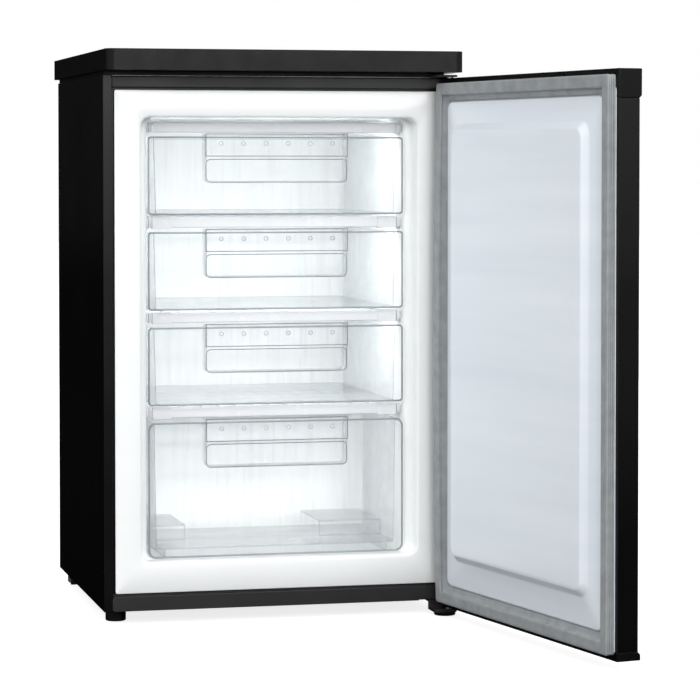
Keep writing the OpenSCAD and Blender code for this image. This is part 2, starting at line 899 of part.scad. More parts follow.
module filter_drier() {
    low = base_gap + 70;
    color("#b87542") placed() {
        rod_z(drier_r, low, low + 74, drier_x, drier_y);
        translate([drier_x, drier_y, low + 74]) cylinder(r1 = drier_r, r2 = 3, h = 12);
        translate([drier_x, drier_y, low - 12]) cylinder(r1 = 3, r2 = drier_r, h = 12);
        rod_z(3, low + 80, machine_top, drier_x, drier_y);
    }
}

module suction_line() {
    z = comp_low + comp_h * 0.36;
    far = comp_x + comp_r + 34;
    color("#b9703c") placed() {
        rod_x(4, comp_x + comp_r + 0.2, far, comp_y, z);
        translate([far, comp_y, z]) sphere(4);
        rod_z(4, z, machine_top, far, comp_y);
    }
}

// Gland for the mains lead in the rear edge of the compressor plate
module cord_gland() {
    color("#111111") placed()
        translate([gland_x, cab_d, base_gap + 22]) rotate([90, 0, 0]) difference() {
            union() {
                translate([0, 0, -3]) cylinder(r = 9, h = 3);
                cylinder(r = 6.5, h = 12);
            }
            translate([0, 0, -4]) cylinder(r = 3.4, h = 20);
        }
}

module thermostat_box() {
    color("#e6e7e8") placed() difference() {
        span([thermo_x - thermo_w / 2, knob_y - 4 - thermo_d, thermo_z - thermo_h / 2],
            [thermo_x + thermo_w / 2, knob_y - 4, thermo_z + thermo_h / 2]);
        rod_y(3.2 + fit, knob_y - 20, knob_y, thermo_x, thermo_z);
    }
    color("#e6e7e8") placed()
        span([thermo_x - 12, knob_y - 4 - thermo_d, thermo_z + thermo_h / 2],
            [thermo_x + 12, knob_y - 22, machine_top]);
}

module thermostat_knob() {
    color("#f2f2f2") placed() {
        rod_y(3.2, knob_y - 19, knob_y, thermo_x, thermo_z);
        rod_y(knob_r, knob_y - 3.4, knob_y + knob_h - 8, thermo_x, thermo_z);
        span([thermo_x - 3, knob_y, thermo_z - knob_r + 1],
            [thermo_x + 3, knob_y + knob_h - 4, thermo_z + knob_r - 1]);
    }
}

// ---- Door ----

// Outer skin: one sheet folded round both vertical edges and over the inner face
module door_skin() {
    color("#0d0d0d") placed() swung() difference() {
        span([-half_w, door_out, skin_low], [half_w, door_in, skin_top]);
        span([-half_w + sheet, door_out + sheet, skin_low - 1],
            [half_w - sheet, door_in - sheet, skin_top + 1]);
        span([-half_w + inner_lip, door_out + sheet, skin_low - 1],
            [half_w - inner_lip, door_in + 1, skin_top + 1]);
    }
}

// Side view of an end cap: plain inside, flared outside with a slanted edge
module cap_side(z_edge, z_end) {
    dir = z_end > z_edge ? 1 : -1;
    polygon([
        [door_in, z_edge], [door_in, z_end], [door_out - cap_flare, z_end],
        [door_out - cap_flare, z_edge + dir * cap_flare], [door_out, z_edge]]);
}

module grip_pocket() {
    z0 = skin_top + 7;
    span([grip_x, door_out - cap_flare - 1, z0], [grip_x + grip_w, door_out + grip_d, z0 + grip_h - 6]);
    span([grip_x, door_out, z0], [grip_x + grip_w, door_out + grip_d, z0 + grip_h]);
}

module door_top_cap() {
    color("#131313") placed() swung() difference() {
        along_x(-half_w, half_w) cap_side(skin_top, door_top);
        grip_pocket();
        rod_z(bush_r, door_top - pin_len, door_top + 1, hinge_x, hinge_y);
    }
}

module door_bottom_cap() {
    color("#131313") placed() swung() difference() {
        along_x(-half_w, half_w) cap_side(skin_low, door_low);
        rod_z(bush_r, door_low - 1, door_low + bottom_cap_h - 1.2, hinge_x, hinge_y);
    }
}

module hinge_bushes() {
    color("#d8d8d4") placed() swung() {
        difference() {
            rod_z(bush_r - slip / 6, door_top - pin_len + 0.2, door_top, hinge_x, hinge_y);
            rod_z(pin_r + fit, door_top - pin_len + 1.4, door_top + 1, hinge_x, hinge_y);
        }
        difference() {
            rod_z(bush_r - slip / 6, door_low, door_low + bottom_cap_h - 1.4, hinge_x, hinge_y);
            rod_z(pin_r + fit, door_low - 1, door_low + bottom_cap_h + 1, hinge_x, hinge_y);
        }
    }
}

// Raised panel of the door liner with sloping edges, shrunk by t all round
module panel_block(t) {
    foot = panel_lean - t;
    hull() {
        along_y(door_in - liner_back, door_in - liner_back + eps)
            soft_rect(-panel_x - foot, panel_low - foot, panel_x + foot, panel_top + foot,
                26, $fn = hull_fn);
        along_y(door_in + panel_rise - t, door_in + panel_rise - t + eps)
            soft_rect(-panel_x + t, panel_low + t, panel_x - t, panel_top - t, 14, $fn = hull_fn);
    }
}

module door_foam() {
    color("#e9dfb8") placed() swung() {
        span([-half_w + sheet, door_out + sheet, skin_low],
            [half_w - sheet, door_in - liner_back, skin_top]);
        panel_block(liner_t);
    }
}

module door_liner() {
    edge = inner_lip + slip;
    color("#eef0f3") placed() swung() difference() {
        union() {
            span([-half_w + edge, door_in - liner_back, skin_low], [half_w - edge, door_in, skin_top]);
            panel_block(0);
        }
        panel_block(liner_t);
        span([-cab_w, door_in - 40, 0], [cab_w, door_in - liner_back, total_h]);
    }
}

module gasket_ring(inset, w, y0, y1) {
    along_y(y0, y1) difference() {
        soft_rect(-gasket_x + inset, gasket_low + inset, gasket_x - inset, gasket_top - inset, 2);
        soft_rect(-gasket_x + inset + w, gasket_low + inset + w,
            gasket_x - inset - w, gasket_top - inset - w, 2);
    }
}

module door_gasket() {
    color("#9b9d9e") placed() swung() difference() {
        gasket_ring(0, gasket_w, door_in, door_in + gasket_t);
        gasket_ring(2, magnet_w + 2 * slip, door_in + gasket_t - magnet_t - 2 - 2 * slip,
            door_in + gasket_t - 1.4);
    }
}

module gasket_magnets() {
    color("#4a4038") placed() swung()
        gasket_ring(2 + slip, magnet_w, door_in + gasket_t - magnet_t - 2 - slip,
            door_in + gasket_t - 2 - slip);
}

// ---- Drawers ----

function drawer_floor(i) = i < shelves - 1 ? trim_top(i + 1) + drawer_gap : low_skirt;
function front_r(i) = i < shelves - 1 ? 5 : opening_r - 3;
function lip_top(i) = trim_low(i) - lip_drop;
function front_top(i) = trim_low(i) - front_drop;
function lip_low(i) = lip_top(i) - lip_h;
function pocket_low(i) = lip_top(i) - pocket_drop;

// Outline of the handle: square at the top, round at the bottom
module handle_outline(i, inset) {
    x = handle_w / 2 - inset;
    z = pocket_low(i) + inset;
    r = max(pocket_r - inset, 1);
    translate([-x, z + r]) square([2 * x, lip_top(i) - inset - z - r]);
    translate([-x + r, z]) square([2 * (x - r), 2 * r]);
    for (side = [-1, 1])
        translate([side * (x - r), z + r]) circle(r);
}

module drawer_front(i) {
    y = front_setback;
    color("#dfe6ea", 0.5) placed() difference() {
        union() {
            along_y(y, y + front_t) soft_rect(-front_x, drawer_floor(i), front_x, front_top(i), front_r(i));
            along_y(y, y + front_t + pocket_d + pocket_wall) handle_outline(i, 0);
            span([-handle_w / 2, y - lip_out, lip_low(i) + lip_out],
                [handle_w / 2, y + eps, lip_top(i)]);
            rod_x(lip_out, -handle_w / 2, handle_w / 2, y, lip_low(i) + lip_out);
        }
        difference() {
            along_y(y + front_t, y + front_t + pocket_d) handle_outline(i, pocket_wall);
            span([-cab_w, 0, 0], [cab_w, y + front_t, 1]);
        }
        difference() {
            along_y(y - 10, y + front_t + eps) handle_outline(i, pocket_wall);
            span([-cab_w, y - 10, lip_low(i)], [cab_w, y + front_t + 1, total_h]);
        }
        for (k = [0 : dimples - 1])
            translate([(k - (dimples - 1) / 2) * dimple_pitch, y - lip_out, lip_top(i) - 15])
                rotate([90, 0, 0]) cylinder(d = dimple_d, h = 2.4, center = true, $fn = 24);
    }
}

// Block that leans in towards its floor, from z0 to z1, shrunk by t all round
module tub_block(z0, z1, depth, t) {
    y0 = front_setback + front_t;
    hull() {
        translate([0, 0, z1 - eps]) linear_extrude(eps)
            soft_rect(-tub_x + t, y0 - (t > 0 ? 40 : 0), tub_x - t, y0 + depth - t, 12, $fn = hull_fn);
        translate([0, 0, z0]) linear_extrude(eps)
            soft_rect(-tub_x + t + tub_taper, y0 - (t > 0 ? 40 : 0), tub_x - t - tub_taper,
                y0 + depth - t - tub_taper, 12, $fn = hull_fn);
    }
}

module tub_shell(z0, z1, depth) {
    y0 = front_setback + front_t;
    difference() {
        tub_block(z0, z1, depth, 0);
        tub_block(z0 + tub_t, z1 + 1, depth, tub_t);
        span([-cab_w, y0 - 60, 0], [cab_w, y0, total_h]);
    }
}

module drawer_tub(i) {
    color("#e8edf0", 0.45) placed() tub_shell(drawer_floor(i), front_top(i) - 1, tub_d);
}

// Two raised blocks at the rear of the lowest tub
module low_blocks(t) {
    y1 = front_setback + front_t + low_tub_d - tub_taper - t;
    x = tub_x - tub_taper - t;
    span([-x, block_y + t, low_floor - 1], [-x + block_left_w - t, y1, low_floor + block_h - t]);
    span([x - block_right_w + t, block_y + t, low_floor - 1], [x, y1, low_floor + block_h - t]);
}

module drawer_tub_4() {
    y0 = front_setback + front_t;
    color("#e8edf0", 0.45) placed() {
        tub_shell(low_floor, front_top(3) - 1, low_tub_d);
        intersection() {
            tub_block(low_floor, front_top(3), low_tub_d, 0);
            difference() {
                low_blocks(0);
                low_blocks(tub_t);
            }
        }
        for (side = [-1, 1])
            translate([side * (tub_x - tub_taper - 14), 0, 0])
                span([-tub_t / 2, y0, low_skirt], [tub_t / 2, y0 + low_tub_d - 30, low_floor + 1]);
    }
}

module drawer_front_1() {
    drawer_front(0);
}

module drawer_front_2() {
    drawer_front(1);
}

module drawer_front_3() {
    drawer_front(2);
}

module drawer_front_4() {
    drawer_front(3);
}

module drawer_tub_1() {
    drawer_tub(0);
}

module drawer_tub_2() {
    drawer_tub(1);
}

module drawer_tub_3() {
    drawer_tub(2);
}

worktop_surround();
worktop_board();
side_panel_left();
side_panel_right();
top_plate();
top_rail();
bottom_rail();
back_panel();
base_pan();
insulation_foam();
inner_liner();
evaporator_tube();
evaporator_wires();
shelf_trim_1();
shelf_trim_2();
shelf_trim_3();
shelf_trim_4();
trim_clips();
top_hinge_plate();
top_hinge_pin();
bottom_hinge_bracket();
bottom_hinge_pin();
hinge_screws();
foot_insert();
foot_left();
foot_right();
roller_brackets();
roller_axles();
roller_left();
roller_right();
compressor_plate();
compressor_shell();
compressor_grommets();
compressor_bolts();
relay_cover();
condenser_tube();
condenser_wires();
condenser_brackets();
filter_drier();
suction_line();
cord_gland();
thermostat_box();
thermostat_knob();
door_skin();
door_top_cap();
door_bottom_cap();
door_foam();
door_liner();
door_gasket();
gasket_magnets();
hinge_bushes();
drawer_front_1();
drawer_tub_1();
drawer_front_2();
drawer_tub_2();
drawer_front_3();
drawer_tub_3();
drawer_front_4();
drawer_tub_4();
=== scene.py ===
"""Looks of an under-counter freezer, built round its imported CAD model.

All sizes in the classes below are millimetres, drawn about the cabinet: x = 0 on its
centre plane, y = 0 on its front face and z = 0 on the floor. Layout turns them into the
model's own metres. The door is drawn shut and then swung to where the model has it.
"""

import json
import logging
import math
from dataclasses import dataclass, field
from enum import Enum
from typing import Callable, Sequence

import bmesh
import bpy
from mathutils import Matrix, Vector

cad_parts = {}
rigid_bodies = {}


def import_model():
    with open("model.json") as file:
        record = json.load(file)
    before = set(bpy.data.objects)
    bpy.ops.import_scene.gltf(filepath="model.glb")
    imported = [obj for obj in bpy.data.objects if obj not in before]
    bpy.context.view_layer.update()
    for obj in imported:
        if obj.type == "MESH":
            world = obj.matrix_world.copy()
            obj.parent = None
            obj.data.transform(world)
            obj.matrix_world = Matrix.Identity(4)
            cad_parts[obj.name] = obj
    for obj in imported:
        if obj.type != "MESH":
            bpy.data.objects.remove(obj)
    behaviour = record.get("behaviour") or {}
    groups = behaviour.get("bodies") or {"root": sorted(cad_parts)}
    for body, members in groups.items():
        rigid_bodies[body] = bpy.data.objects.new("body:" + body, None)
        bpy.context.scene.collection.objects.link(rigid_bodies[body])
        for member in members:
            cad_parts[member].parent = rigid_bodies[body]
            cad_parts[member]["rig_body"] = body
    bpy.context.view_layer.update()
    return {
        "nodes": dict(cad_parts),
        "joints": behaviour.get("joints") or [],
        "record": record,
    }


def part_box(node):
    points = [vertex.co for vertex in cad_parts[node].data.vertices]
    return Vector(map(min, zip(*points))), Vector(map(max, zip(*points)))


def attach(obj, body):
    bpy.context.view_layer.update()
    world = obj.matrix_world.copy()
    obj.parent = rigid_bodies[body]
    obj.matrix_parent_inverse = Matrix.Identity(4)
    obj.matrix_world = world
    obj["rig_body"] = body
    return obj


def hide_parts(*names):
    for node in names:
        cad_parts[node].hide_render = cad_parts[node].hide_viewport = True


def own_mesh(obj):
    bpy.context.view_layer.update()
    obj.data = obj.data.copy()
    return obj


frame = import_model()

LOG = logging.getLogger("freezer")
MM = 0.001
Point = tuple[float, float, float]
Ring = list[Point]


class Slot(str, Enum):
    """The material slots that the pieces take their finishes from."""

    WORKTOP_PLASTIC = "worktop_plastic"
    WORKTOP_LAMINATE = "worktop_laminate"
    BLACK_STEEL = "black_steel"
    DARK_RAIL = "dark_rail"
    GALVANISED = "galvanised"
    FOAM = "foam"
    LINER_WHITE = "liner_white"
    TRIM_WHITE = "trim_white"
    CLEAR_DRAWER = "clear_drawer"
    EVAPORATOR_PAINT = "evaporator_paint"
    ZINC = "zinc"
    SEAL = "seal"
    MAGNET_STRIP = "magnet_strip"
    DOOR_LINER = "door_liner"
    DOOR_CAP = "door_cap"
    BLACK_PLASTIC = "black_plastic"
    BLACK_RUBBER = "black_rubber"
    BUSH_PLASTIC = "bush_plastic"
    COMPRESSOR_BLACK = "compressor_black"
    COPPER = "copper"
    KNOB_WHITE = "knob_white"


# ---------------------------------------------------------------- colour and nodes


def linear(code: str) -> tuple[float, float, float, float]:
    """Turn an sRGB hex colour into linear light.

    Args:
        code: the colour as six hex digits.

    Returns:
        Linear red, green and blue, with an alpha of 1.
    """
    channels = [int(code[i:i + 2], 16) / 255 for i in (0, 2, 4)]
    red, green, blue = (
        c / 12.92 if c <= 0.04045 else ((c + 0.055) / 1.055) ** 2.4 for c in channels)
    return (red, green, blue, 1.0)


class Recipe:
    """A material's node tree while it is being put together."""

    def __init__(self, name: str) -> None:
        """Start a new material that holds only a shader and its output."""
        self.material = bpy.data.materials.new(name)
        self.material.use_nodes = True
        self.tree = self.material.node_tree
        self.tree.nodes.clear()
        output = self.add("ShaderNodeOutputMaterial")
        self.shader = self.add("ShaderNodeBsdfPrincipled")
        self.tree.links.new(self.shader.outputs[0], output.inputs["Surface"])
        self.place = self.add("ShaderNodeTexCoord").outputs["Object"]

    def add(self, kind: str, links: dict | None = None, **settings: object) -> bpy.types.Node:
        """Add one node with its settings and links.

        Args:
            kind: the node's type name.
            links: for each input, by name or index, a socket to link or a value to set.
            settings: attributes of the node itself.

        Returns:
            The new node.
        """
        node = self.tree.nodes.new(kind)
        for key, value in settings.items():
            setattr(node, key, value)
        for key, value in (links or {}).items():
            if isinstance(value, bpy.types.NodeSocket):
                self.tree.links.new(value, node.inputs[key])
            else:
                node.inputs[key].default_value = value
        return node

    def drive(self, socket: str, source: bpy.types.NodeSocket) -> None:
        """Link a node's output to one of the shader's sockets."""
        self.tree.links.new(source, self.shader.inputs[socket])

    def set(self, **values: object) -> None:
        """Set constants on the shader's own sockets, named with _ for a space."""
        for key, value in values.items():
            self.shader.inputs[key.replace("_", " ")].default_value = value

    def stretched(self, stretch: Point) -> bpy.types.NodeSocket:
        """Give the place on the piece, squeezed along each axis by a factor."""
        return self.add("ShaderNodeVectorMath", {0: self.place, 1: stretch},
                        operation="MULTIPLY").outputs[0]

    def noise(self, size_mm: float, detail: float = 3.0, stretch: Point = (1, 1, 1),
              rough: float = 0.5) -> bpy.types.NodeSocket:
        """Make cloudy noise.

        Args:
            size_mm: how far apart its blobs are.
            detail: how many finer layers it holds.
            stretch: a small number along an axis draws the blobs out along it.
            rough: the strength of the finer layers.

        Returns:
            The noise, from 0 to 1.
        """
        return self.add("ShaderNodeTexNoise", {
            "Vector": self.stretched(stretch), "Scale": 1 / (size_mm * MM), "Detail": detail,
            "Roughness": rough}).outputs[0]

    def cells(self, size_mm: float, feature: str = "F1") -> bpy.types.Node:
        """Make a Voronoi cell pattern whose cells are this far apart."""
        return self.add("ShaderNodeTexVoronoi", {
            "Vector": self.place, "Scale": 1 / (size_mm * MM)}, feature=feature)

    def span(self, source: bpy.types.NodeSocket, low: float, high: float,
             start: float = 0.3, end: float = 0.7) -> bpy.types.NodeSocket:
        """Turn start to end of a value into low to high."""
        return self.add("ShaderNodeMapRange", {
            "Value": source, "From Min": start, "From Max": end, "To Min": low,
            "To Max": high}, clamp=True).outputs[0]

    def maths(self, operation: str, a: object, b: object) -> bpy.types.NodeSocket:
        """Join two values by one operation."""
        return self.add("ShaderNodeMath", {0: a, 1: b}, operation=operation).outputs[0]

    def tint(self, factor: bpy.types.NodeSocket, first: object,
             second: object) -> bpy.types.NodeSocket:
        """Blend from one colour to another; each is a hex code or a socket."""
        ends = [linear(c) if isinstance(c, str) else c for c in (first, second)]
        return self.add("ShaderNodeMix", {0: factor, 6: ends[0], 7: ends[1]},
                        data_type="RGBA").outputs[2]

    def rounded(self, radius_mm: float) -> bpy.types.NodeSocket:
        """Give a normal that makes every edge look rounded by this radius."""
        return self.add("ShaderNodeBevel", {"Radius": radius_mm * MM}, samples=4).outputs[0]

    def edges(self, radius_mm: float) -> bpy.types.NodeSocket:
        """Give 1 along the edges and 0 on flat faces."""
        true = self.add("ShaderNodeNewGeometry").outputs["True Normal"]
        same = self.add("ShaderNodeVectorMath", {0: self.rounded(radius_mm), 1: true},
                        operation="DOT_PRODUCT").outputs["Value"]
        return self.span(same, 1.0, 0.0, 0.8, 0.995)

    def bump(self, height: bpy.types.NodeSocket, depth_mm: float,
             normal: bpy.types.NodeSocket | None = None) -> bpy.types.NodeSocket:
        """Raise the surface by a height of up to depth_mm, on top of another normal."""
        links = {"Height": height, "Distance": depth_mm * MM, "Strength": 1.0}
        if normal is not None:
            links["Normal"] = normal
        return self.add("ShaderNodeBump", links).outputs[0]


# ---------------------------------------------------------------- finishes


@dataclass(frozen=True)
class Finish:
    """A surface with a real material behind it."""

    name: str

    def build(self) -> bpy.types.Material:
        """Make the material."""
        recipe = Recipe(self.name)
        self.dress(recipe)
        return recipe.material

    def dress(self, r: Recipe) -> None:
        """Add this finish's own detail to the recipe."""
        raise NotImplementedError


@dataclass(frozen=True)
class PaintedSteel(Finish):
    """Powder paint on sheet: a soft orange peel, and a painted highlight, a lighter colour where it
    wraps an edge.
    """

    colour: str = "0b0b0b"
    edge_shading_colour: str = "242424"
    roughness: float = 0.36
    specular: float = 0.3
    edge_mm: float = 1.2
    peel_mm: float = 3.0

    def dress(self, r: Recipe) -> None:
        """Paint with orange peel, wiped patches and rounded edges."""
        wiped = r.noise(160, 4)
        # Painted highlight: a lighter colour is laid along every edge.
        r.drive("Base Color", r.tint(r.edges(self.edge_mm), self.colour, self.edge_shading_colour))
        r.drive("Roughness", r.span(wiped, self.roughness * 0.85, self.roughness * 1.2))
        peel = r.bump(r.noise(self.peel_mm, 1), 0.012, r.rounded(self.edge_mm))
        r.drive("Normal", r.bump(r.noise(90, 1), 0.05, peel))
        r.set(IOR=1.5, Specular_IOR_Level=self.specular)


@dataclass(frozen=True)
class Moulding(Finish):
    """Injection-moulded plastic: spark-eroded grain, faint flow marks, and a painted highlight on
    its edges.
    """

    colour: str = "121212"
    flow_colour: str = "171717"
    edge_shading_colour: str = "2a2a2a"
    roughness: float = 0.42
    grain_mm: float = 0.9
    grain_depth_mm: float = 0.02
    edge_mm: float = 0.8
    specular: float = 0.4

    def dress(self, r: Recipe) -> None:
        """Grain the surface and let the flow of the plastic show faintly."""
        flow = r.span(r.noise(70, 3, (0.35, 1, 1)), 0, 1)
        base = r.tint(flow, self.colour, self.flow_colour)
        # Painted highlight: a lighter colour is laid along every edge.
        r.drive("Base Color", r.tint(r.edges(self.edge_mm), base, self.edge_shading_colour))
        r.drive("Roughness", r.span(r.noise(24, 3), self.roughness * 0.85, self.roughness * 1.15))
        r.drive("Normal", r.bump(r.noise(self.grain_mm, 2), self.grain_depth_mm,
                                 r.rounded(self.edge_mm)))
        r.set(IOR=1.49, Specular_IOR_Level=self.specular)


@dataclass(frozen=True)
class FormedSheet(Finish):
    """Vacuum-formed polystyrene: glossy, gently wavy where the sheet was drawn over the mould."""

    colour: str = "f7f7f7"
    thin_colour: str = "f3f3f3"
    roughness: float = 0.2
    wave_mm: float = 60.0
    wave_depth_mm: float = 0.35
    stretch: Point = (0.3, 0.3, 1.0)

    def dress(self, r: Recipe) -> None:
        """Let the drawn sheet wave and blush, with its gloss varying in broad patches."""
        drawn = r.noise(self.wave_mm, 2, self.stretch)
        blush = r.span(r.noise(45, 3, self.stretch), 0, 1, 0.2, 0.8)
        r.drive("Base Color", r.tint(blush, self.colour, self.thin_colour))
        r.drive("Roughness", r.span(r.noise(70, 2, self.stretch), self.roughness * 0.9,
                                    self.roughness * 1.15, 0.2, 0.8))
        waved = r.bump(drawn, self.wave_depth_mm)
        r.drive("Normal", waved)
        r.set(IOR=1.59, Coat_Weight=0.15, Coat_Roughness=0.08)


@dataclass(frozen=True)
class ClearMoulding(Finish):
    """Crystal polystyrene: all but invisible face on, grey and bright along its edges, the grey
    being painted refraction shade.
    """

    colour: str = "eef2f4"
    edge_shading_colour: str = "565d63"
    face_alpha: float = 0.035
    edge_alpha: float = 0.9
    streak_alpha: float = 0.03
    level_face_shade_alpha: float = 0.17

    def dress(self, r: Recipe) -> None:
        """See through the faces, and turn grey and less clear where the wall turns away, along its
        edges and on level faces: painted refraction shade.
        """
        turn = r.add("ShaderNodeLayerWeight", {"Blend": 0.35}).outputs["Facing"]
        # Painted refraction shade: the wall turns grey and opaque as it turns edge-on.
        rim = r.span(turn, 0.0, 0.9, 0.42, 1.0)
        true = r.add("ShaderNodeNewGeometry").outputs["True Normal"]
        level = r.maths("ABSOLUTE", r.add("ShaderNodeSeparateXYZ", {0: true}).outputs[2], 0.0)
        # Painted shade: level faces, such as the tub floor, are made greyer and less clear.
        base = r.span(level, 0.0, self.level_face_shade_alpha, 0.85, 0.98)
        seen = r.maths("MAXIMUM", r.maths("MAXIMUM", rim, r.edges(1.5)), base)
        flow = r.noise(32, 3, (0.25, 1, 1))
        alpha = r.span(seen, self.face_alpha, self.edge_alpha, 0.0, 1.0)
        cloud = r.maths("MULTIPLY", alpha, r.span(flow, 0.85, 1.2))
        streak = r.span(r.noise(7, 2, (1, 1, 0.05)), 0.0, self.streak_alpha, 0.5, 0.72)
        r.drive("Alpha", r.maths("MINIMUM", r.maths("ADD", cloud, streak), 1.0))
        r.drive("Base Color", r.tint(r.maths("MAXIMUM", seen, r.maths("MULTIPLY", streak, 6.0)),
                                     self.colour, self.edge_shading_colour))
        r.drive("Roughness", r.span(r.noise(9, 3), 0.05, 0.16))
        r.drive("Normal", r.bump(flow, 0.12))
        r.set(IOR=1.59)


@dataclass(frozen=True)
class ZincSheet(Finish):
    """Hot-dipped steel sheet: spangled crystals with a dull grey bloom."""

    colour: str = "b4b8ba"
    dark: str = "8e9395"
    spangle_mm: float = 9.0

    def dress(self, r: Recipe) -> None:
        """Spangle the sheet and dull it unevenly."""
        crystal = r.cells(self.spangle_mm)
        level = r.add("ShaderNodeSeparateColor", {0: crystal.outputs["Color"]}).outputs[0]
        bloom = r.span(r.noise(50, 4), 0, 1)
        r.drive("Base Color", r.tint(level, r.tint(bloom, self.colour, self.dark), self.colour))
        r.drive("Roughness", r.span(level, 0.34, 0.55, 0, 1))
        r.drive("Normal", r.bump(level, 0.01, r.rounded(0.5)))
        r.set(Metallic=1.0)


@dataclass(frozen=True)
class DrawnMetal(Finish):
    """Drawn or turned metal: fine lines along its length and a thin tarnish."""

    colour: str = "c6c8ca"
    tarnish: str = "9b9d9f"
    roughness: float = 0.28
    stretch: Point = (1, 1, 0.05)

    def dress(self, r: Recipe) -> None:
        """Draw the lines and tarnish the metal in patches."""
        lines = r.noise(0.8, 2, self.stretch)
        spots = r.span(r.noise(14, 4), 0, 1)
        r.drive("Base Color", r.tint(spots, self.colour, self.tarnish))
        r.drive("Roughness", r.span(lines, self.roughness * 0.8, self.roughness * 1.4))
        r.drive("Normal", r.bump(lines, 0.01, r.rounded(0.4)))
        r.set(Metallic=1.0)


@dataclass(frozen=True)
class SoftProfile(Finish):
    """Extruded soft vinyl or moulded rubber: matt, with a pale bloom in random patches."""

    colour: str = "868a8c"
    bloom: str = "989c9e"
    roughness: float = 0.55
    sheen: float = 0.15
    streak: Point = (1, 1, 0.06)

    def dress(self, r: Recipe) -> None:
        """Bloom the surface, with drawn-out streaks and fine pores."""
        cloud = r.span(r.noise(20, 4), 0, 1)
        r.drive("Base Color", r.tint(cloud, self.colour, self.bloom))
        r.drive("Roughness", r.span(r.noise(6, 3), self.roughness * 0.85, self.roughness * 1.15))
        streaks = r.bump(r.noise(2.2, 2, self.streak), 0.04)
        r.drive("Normal", r.bump(r.noise(0.5, 2), 0.012, streaks))
        r.set(IOR=1.52, Sheen_Weight=self.sheen, Sheen_Roughness=0.4)


@dataclass(frozen=True)
class FoamedCore(Finish):
    """Rigid polyurethane foam: closed cells, browned where it met the air."""

    colour: str = "e6d9a4"
    brown: str = "cfb873"

    def dress(self, r: Recipe) -> None:
        """Fill the surface with cells and brown it in patches."""
        cells = r.cells(1.6).outputs["Distance"]
        r.drive("Base Color", r.tint(r.span(r.noise(60, 4), 0, 1), self.colour, self.brown))
        r.drive("Normal", r.bump(cells, 0.5))
        r.set(Roughness=0.92, IOR=1.45)


@dataclass(frozen=True)
class Laminate(Finish):
    """Pressed worktop laminate: a fine pearl texture over a black paper."""

    colour: str = "151515"
    fleck: str = "262626"

    def dress(self, r: Recipe) -> None:
        """Press in the pearl texture and scatter faint flecks."""
        pearls = r.cells(1.3, "SMOOTH_F1").outputs["Distance"]
        r.drive("Base Color", r.tint(r.span(r.noise(1.8, 2), 0, 1, 0.6, 0.75),
                                     self.colour, self.fleck))
        r.drive("Roughness", r.span(r.noise(120, 4), 0.32, 0.44))
        r.drive("Normal", r.bump(pearls, 0.06, r.rounded(1.0)))
        r.set(IOR=1.5, Specular_IOR_Level=0.35)


@dataclass(frozen=True)
class StudioFloor(Finish):
    """Pale painted floor with a barely visible roll texture, lit from below like a light table."""

    colour: str = "c4c4c4"
    shade: str = "c0c0c0"
    spill: str = "7a7a7a"
    mirrored: str = "101010"
    glow: float = 0.8

    def dress(self, r: Recipe) -> None:
        """Roll on the paint, and keep its glare out of the black panels."""
        path = r.add("ShaderNodeLightPath").outputs
        seen = path["Is Camera Ray"]
        paint = r.tint(r.span(r.noise(400, 2), 0, 1), self.colour, self.shade)
        bounced = r.tint(path["Is Glossy Ray"], self.spill, self.mirrored)
        r.drive("Base Color", r.tint(seen, bounced, paint))
        r.drive("Normal", r.bump(r.noise(5, 2), 0.02))
        r.drive("Emission Strength", r.maths("MULTIPLY", seen, self.glow))
        r.set(Roughness=0.95, Specular_IOR_Level=0.0, Emission_Color=(1, 1, 1, 1))


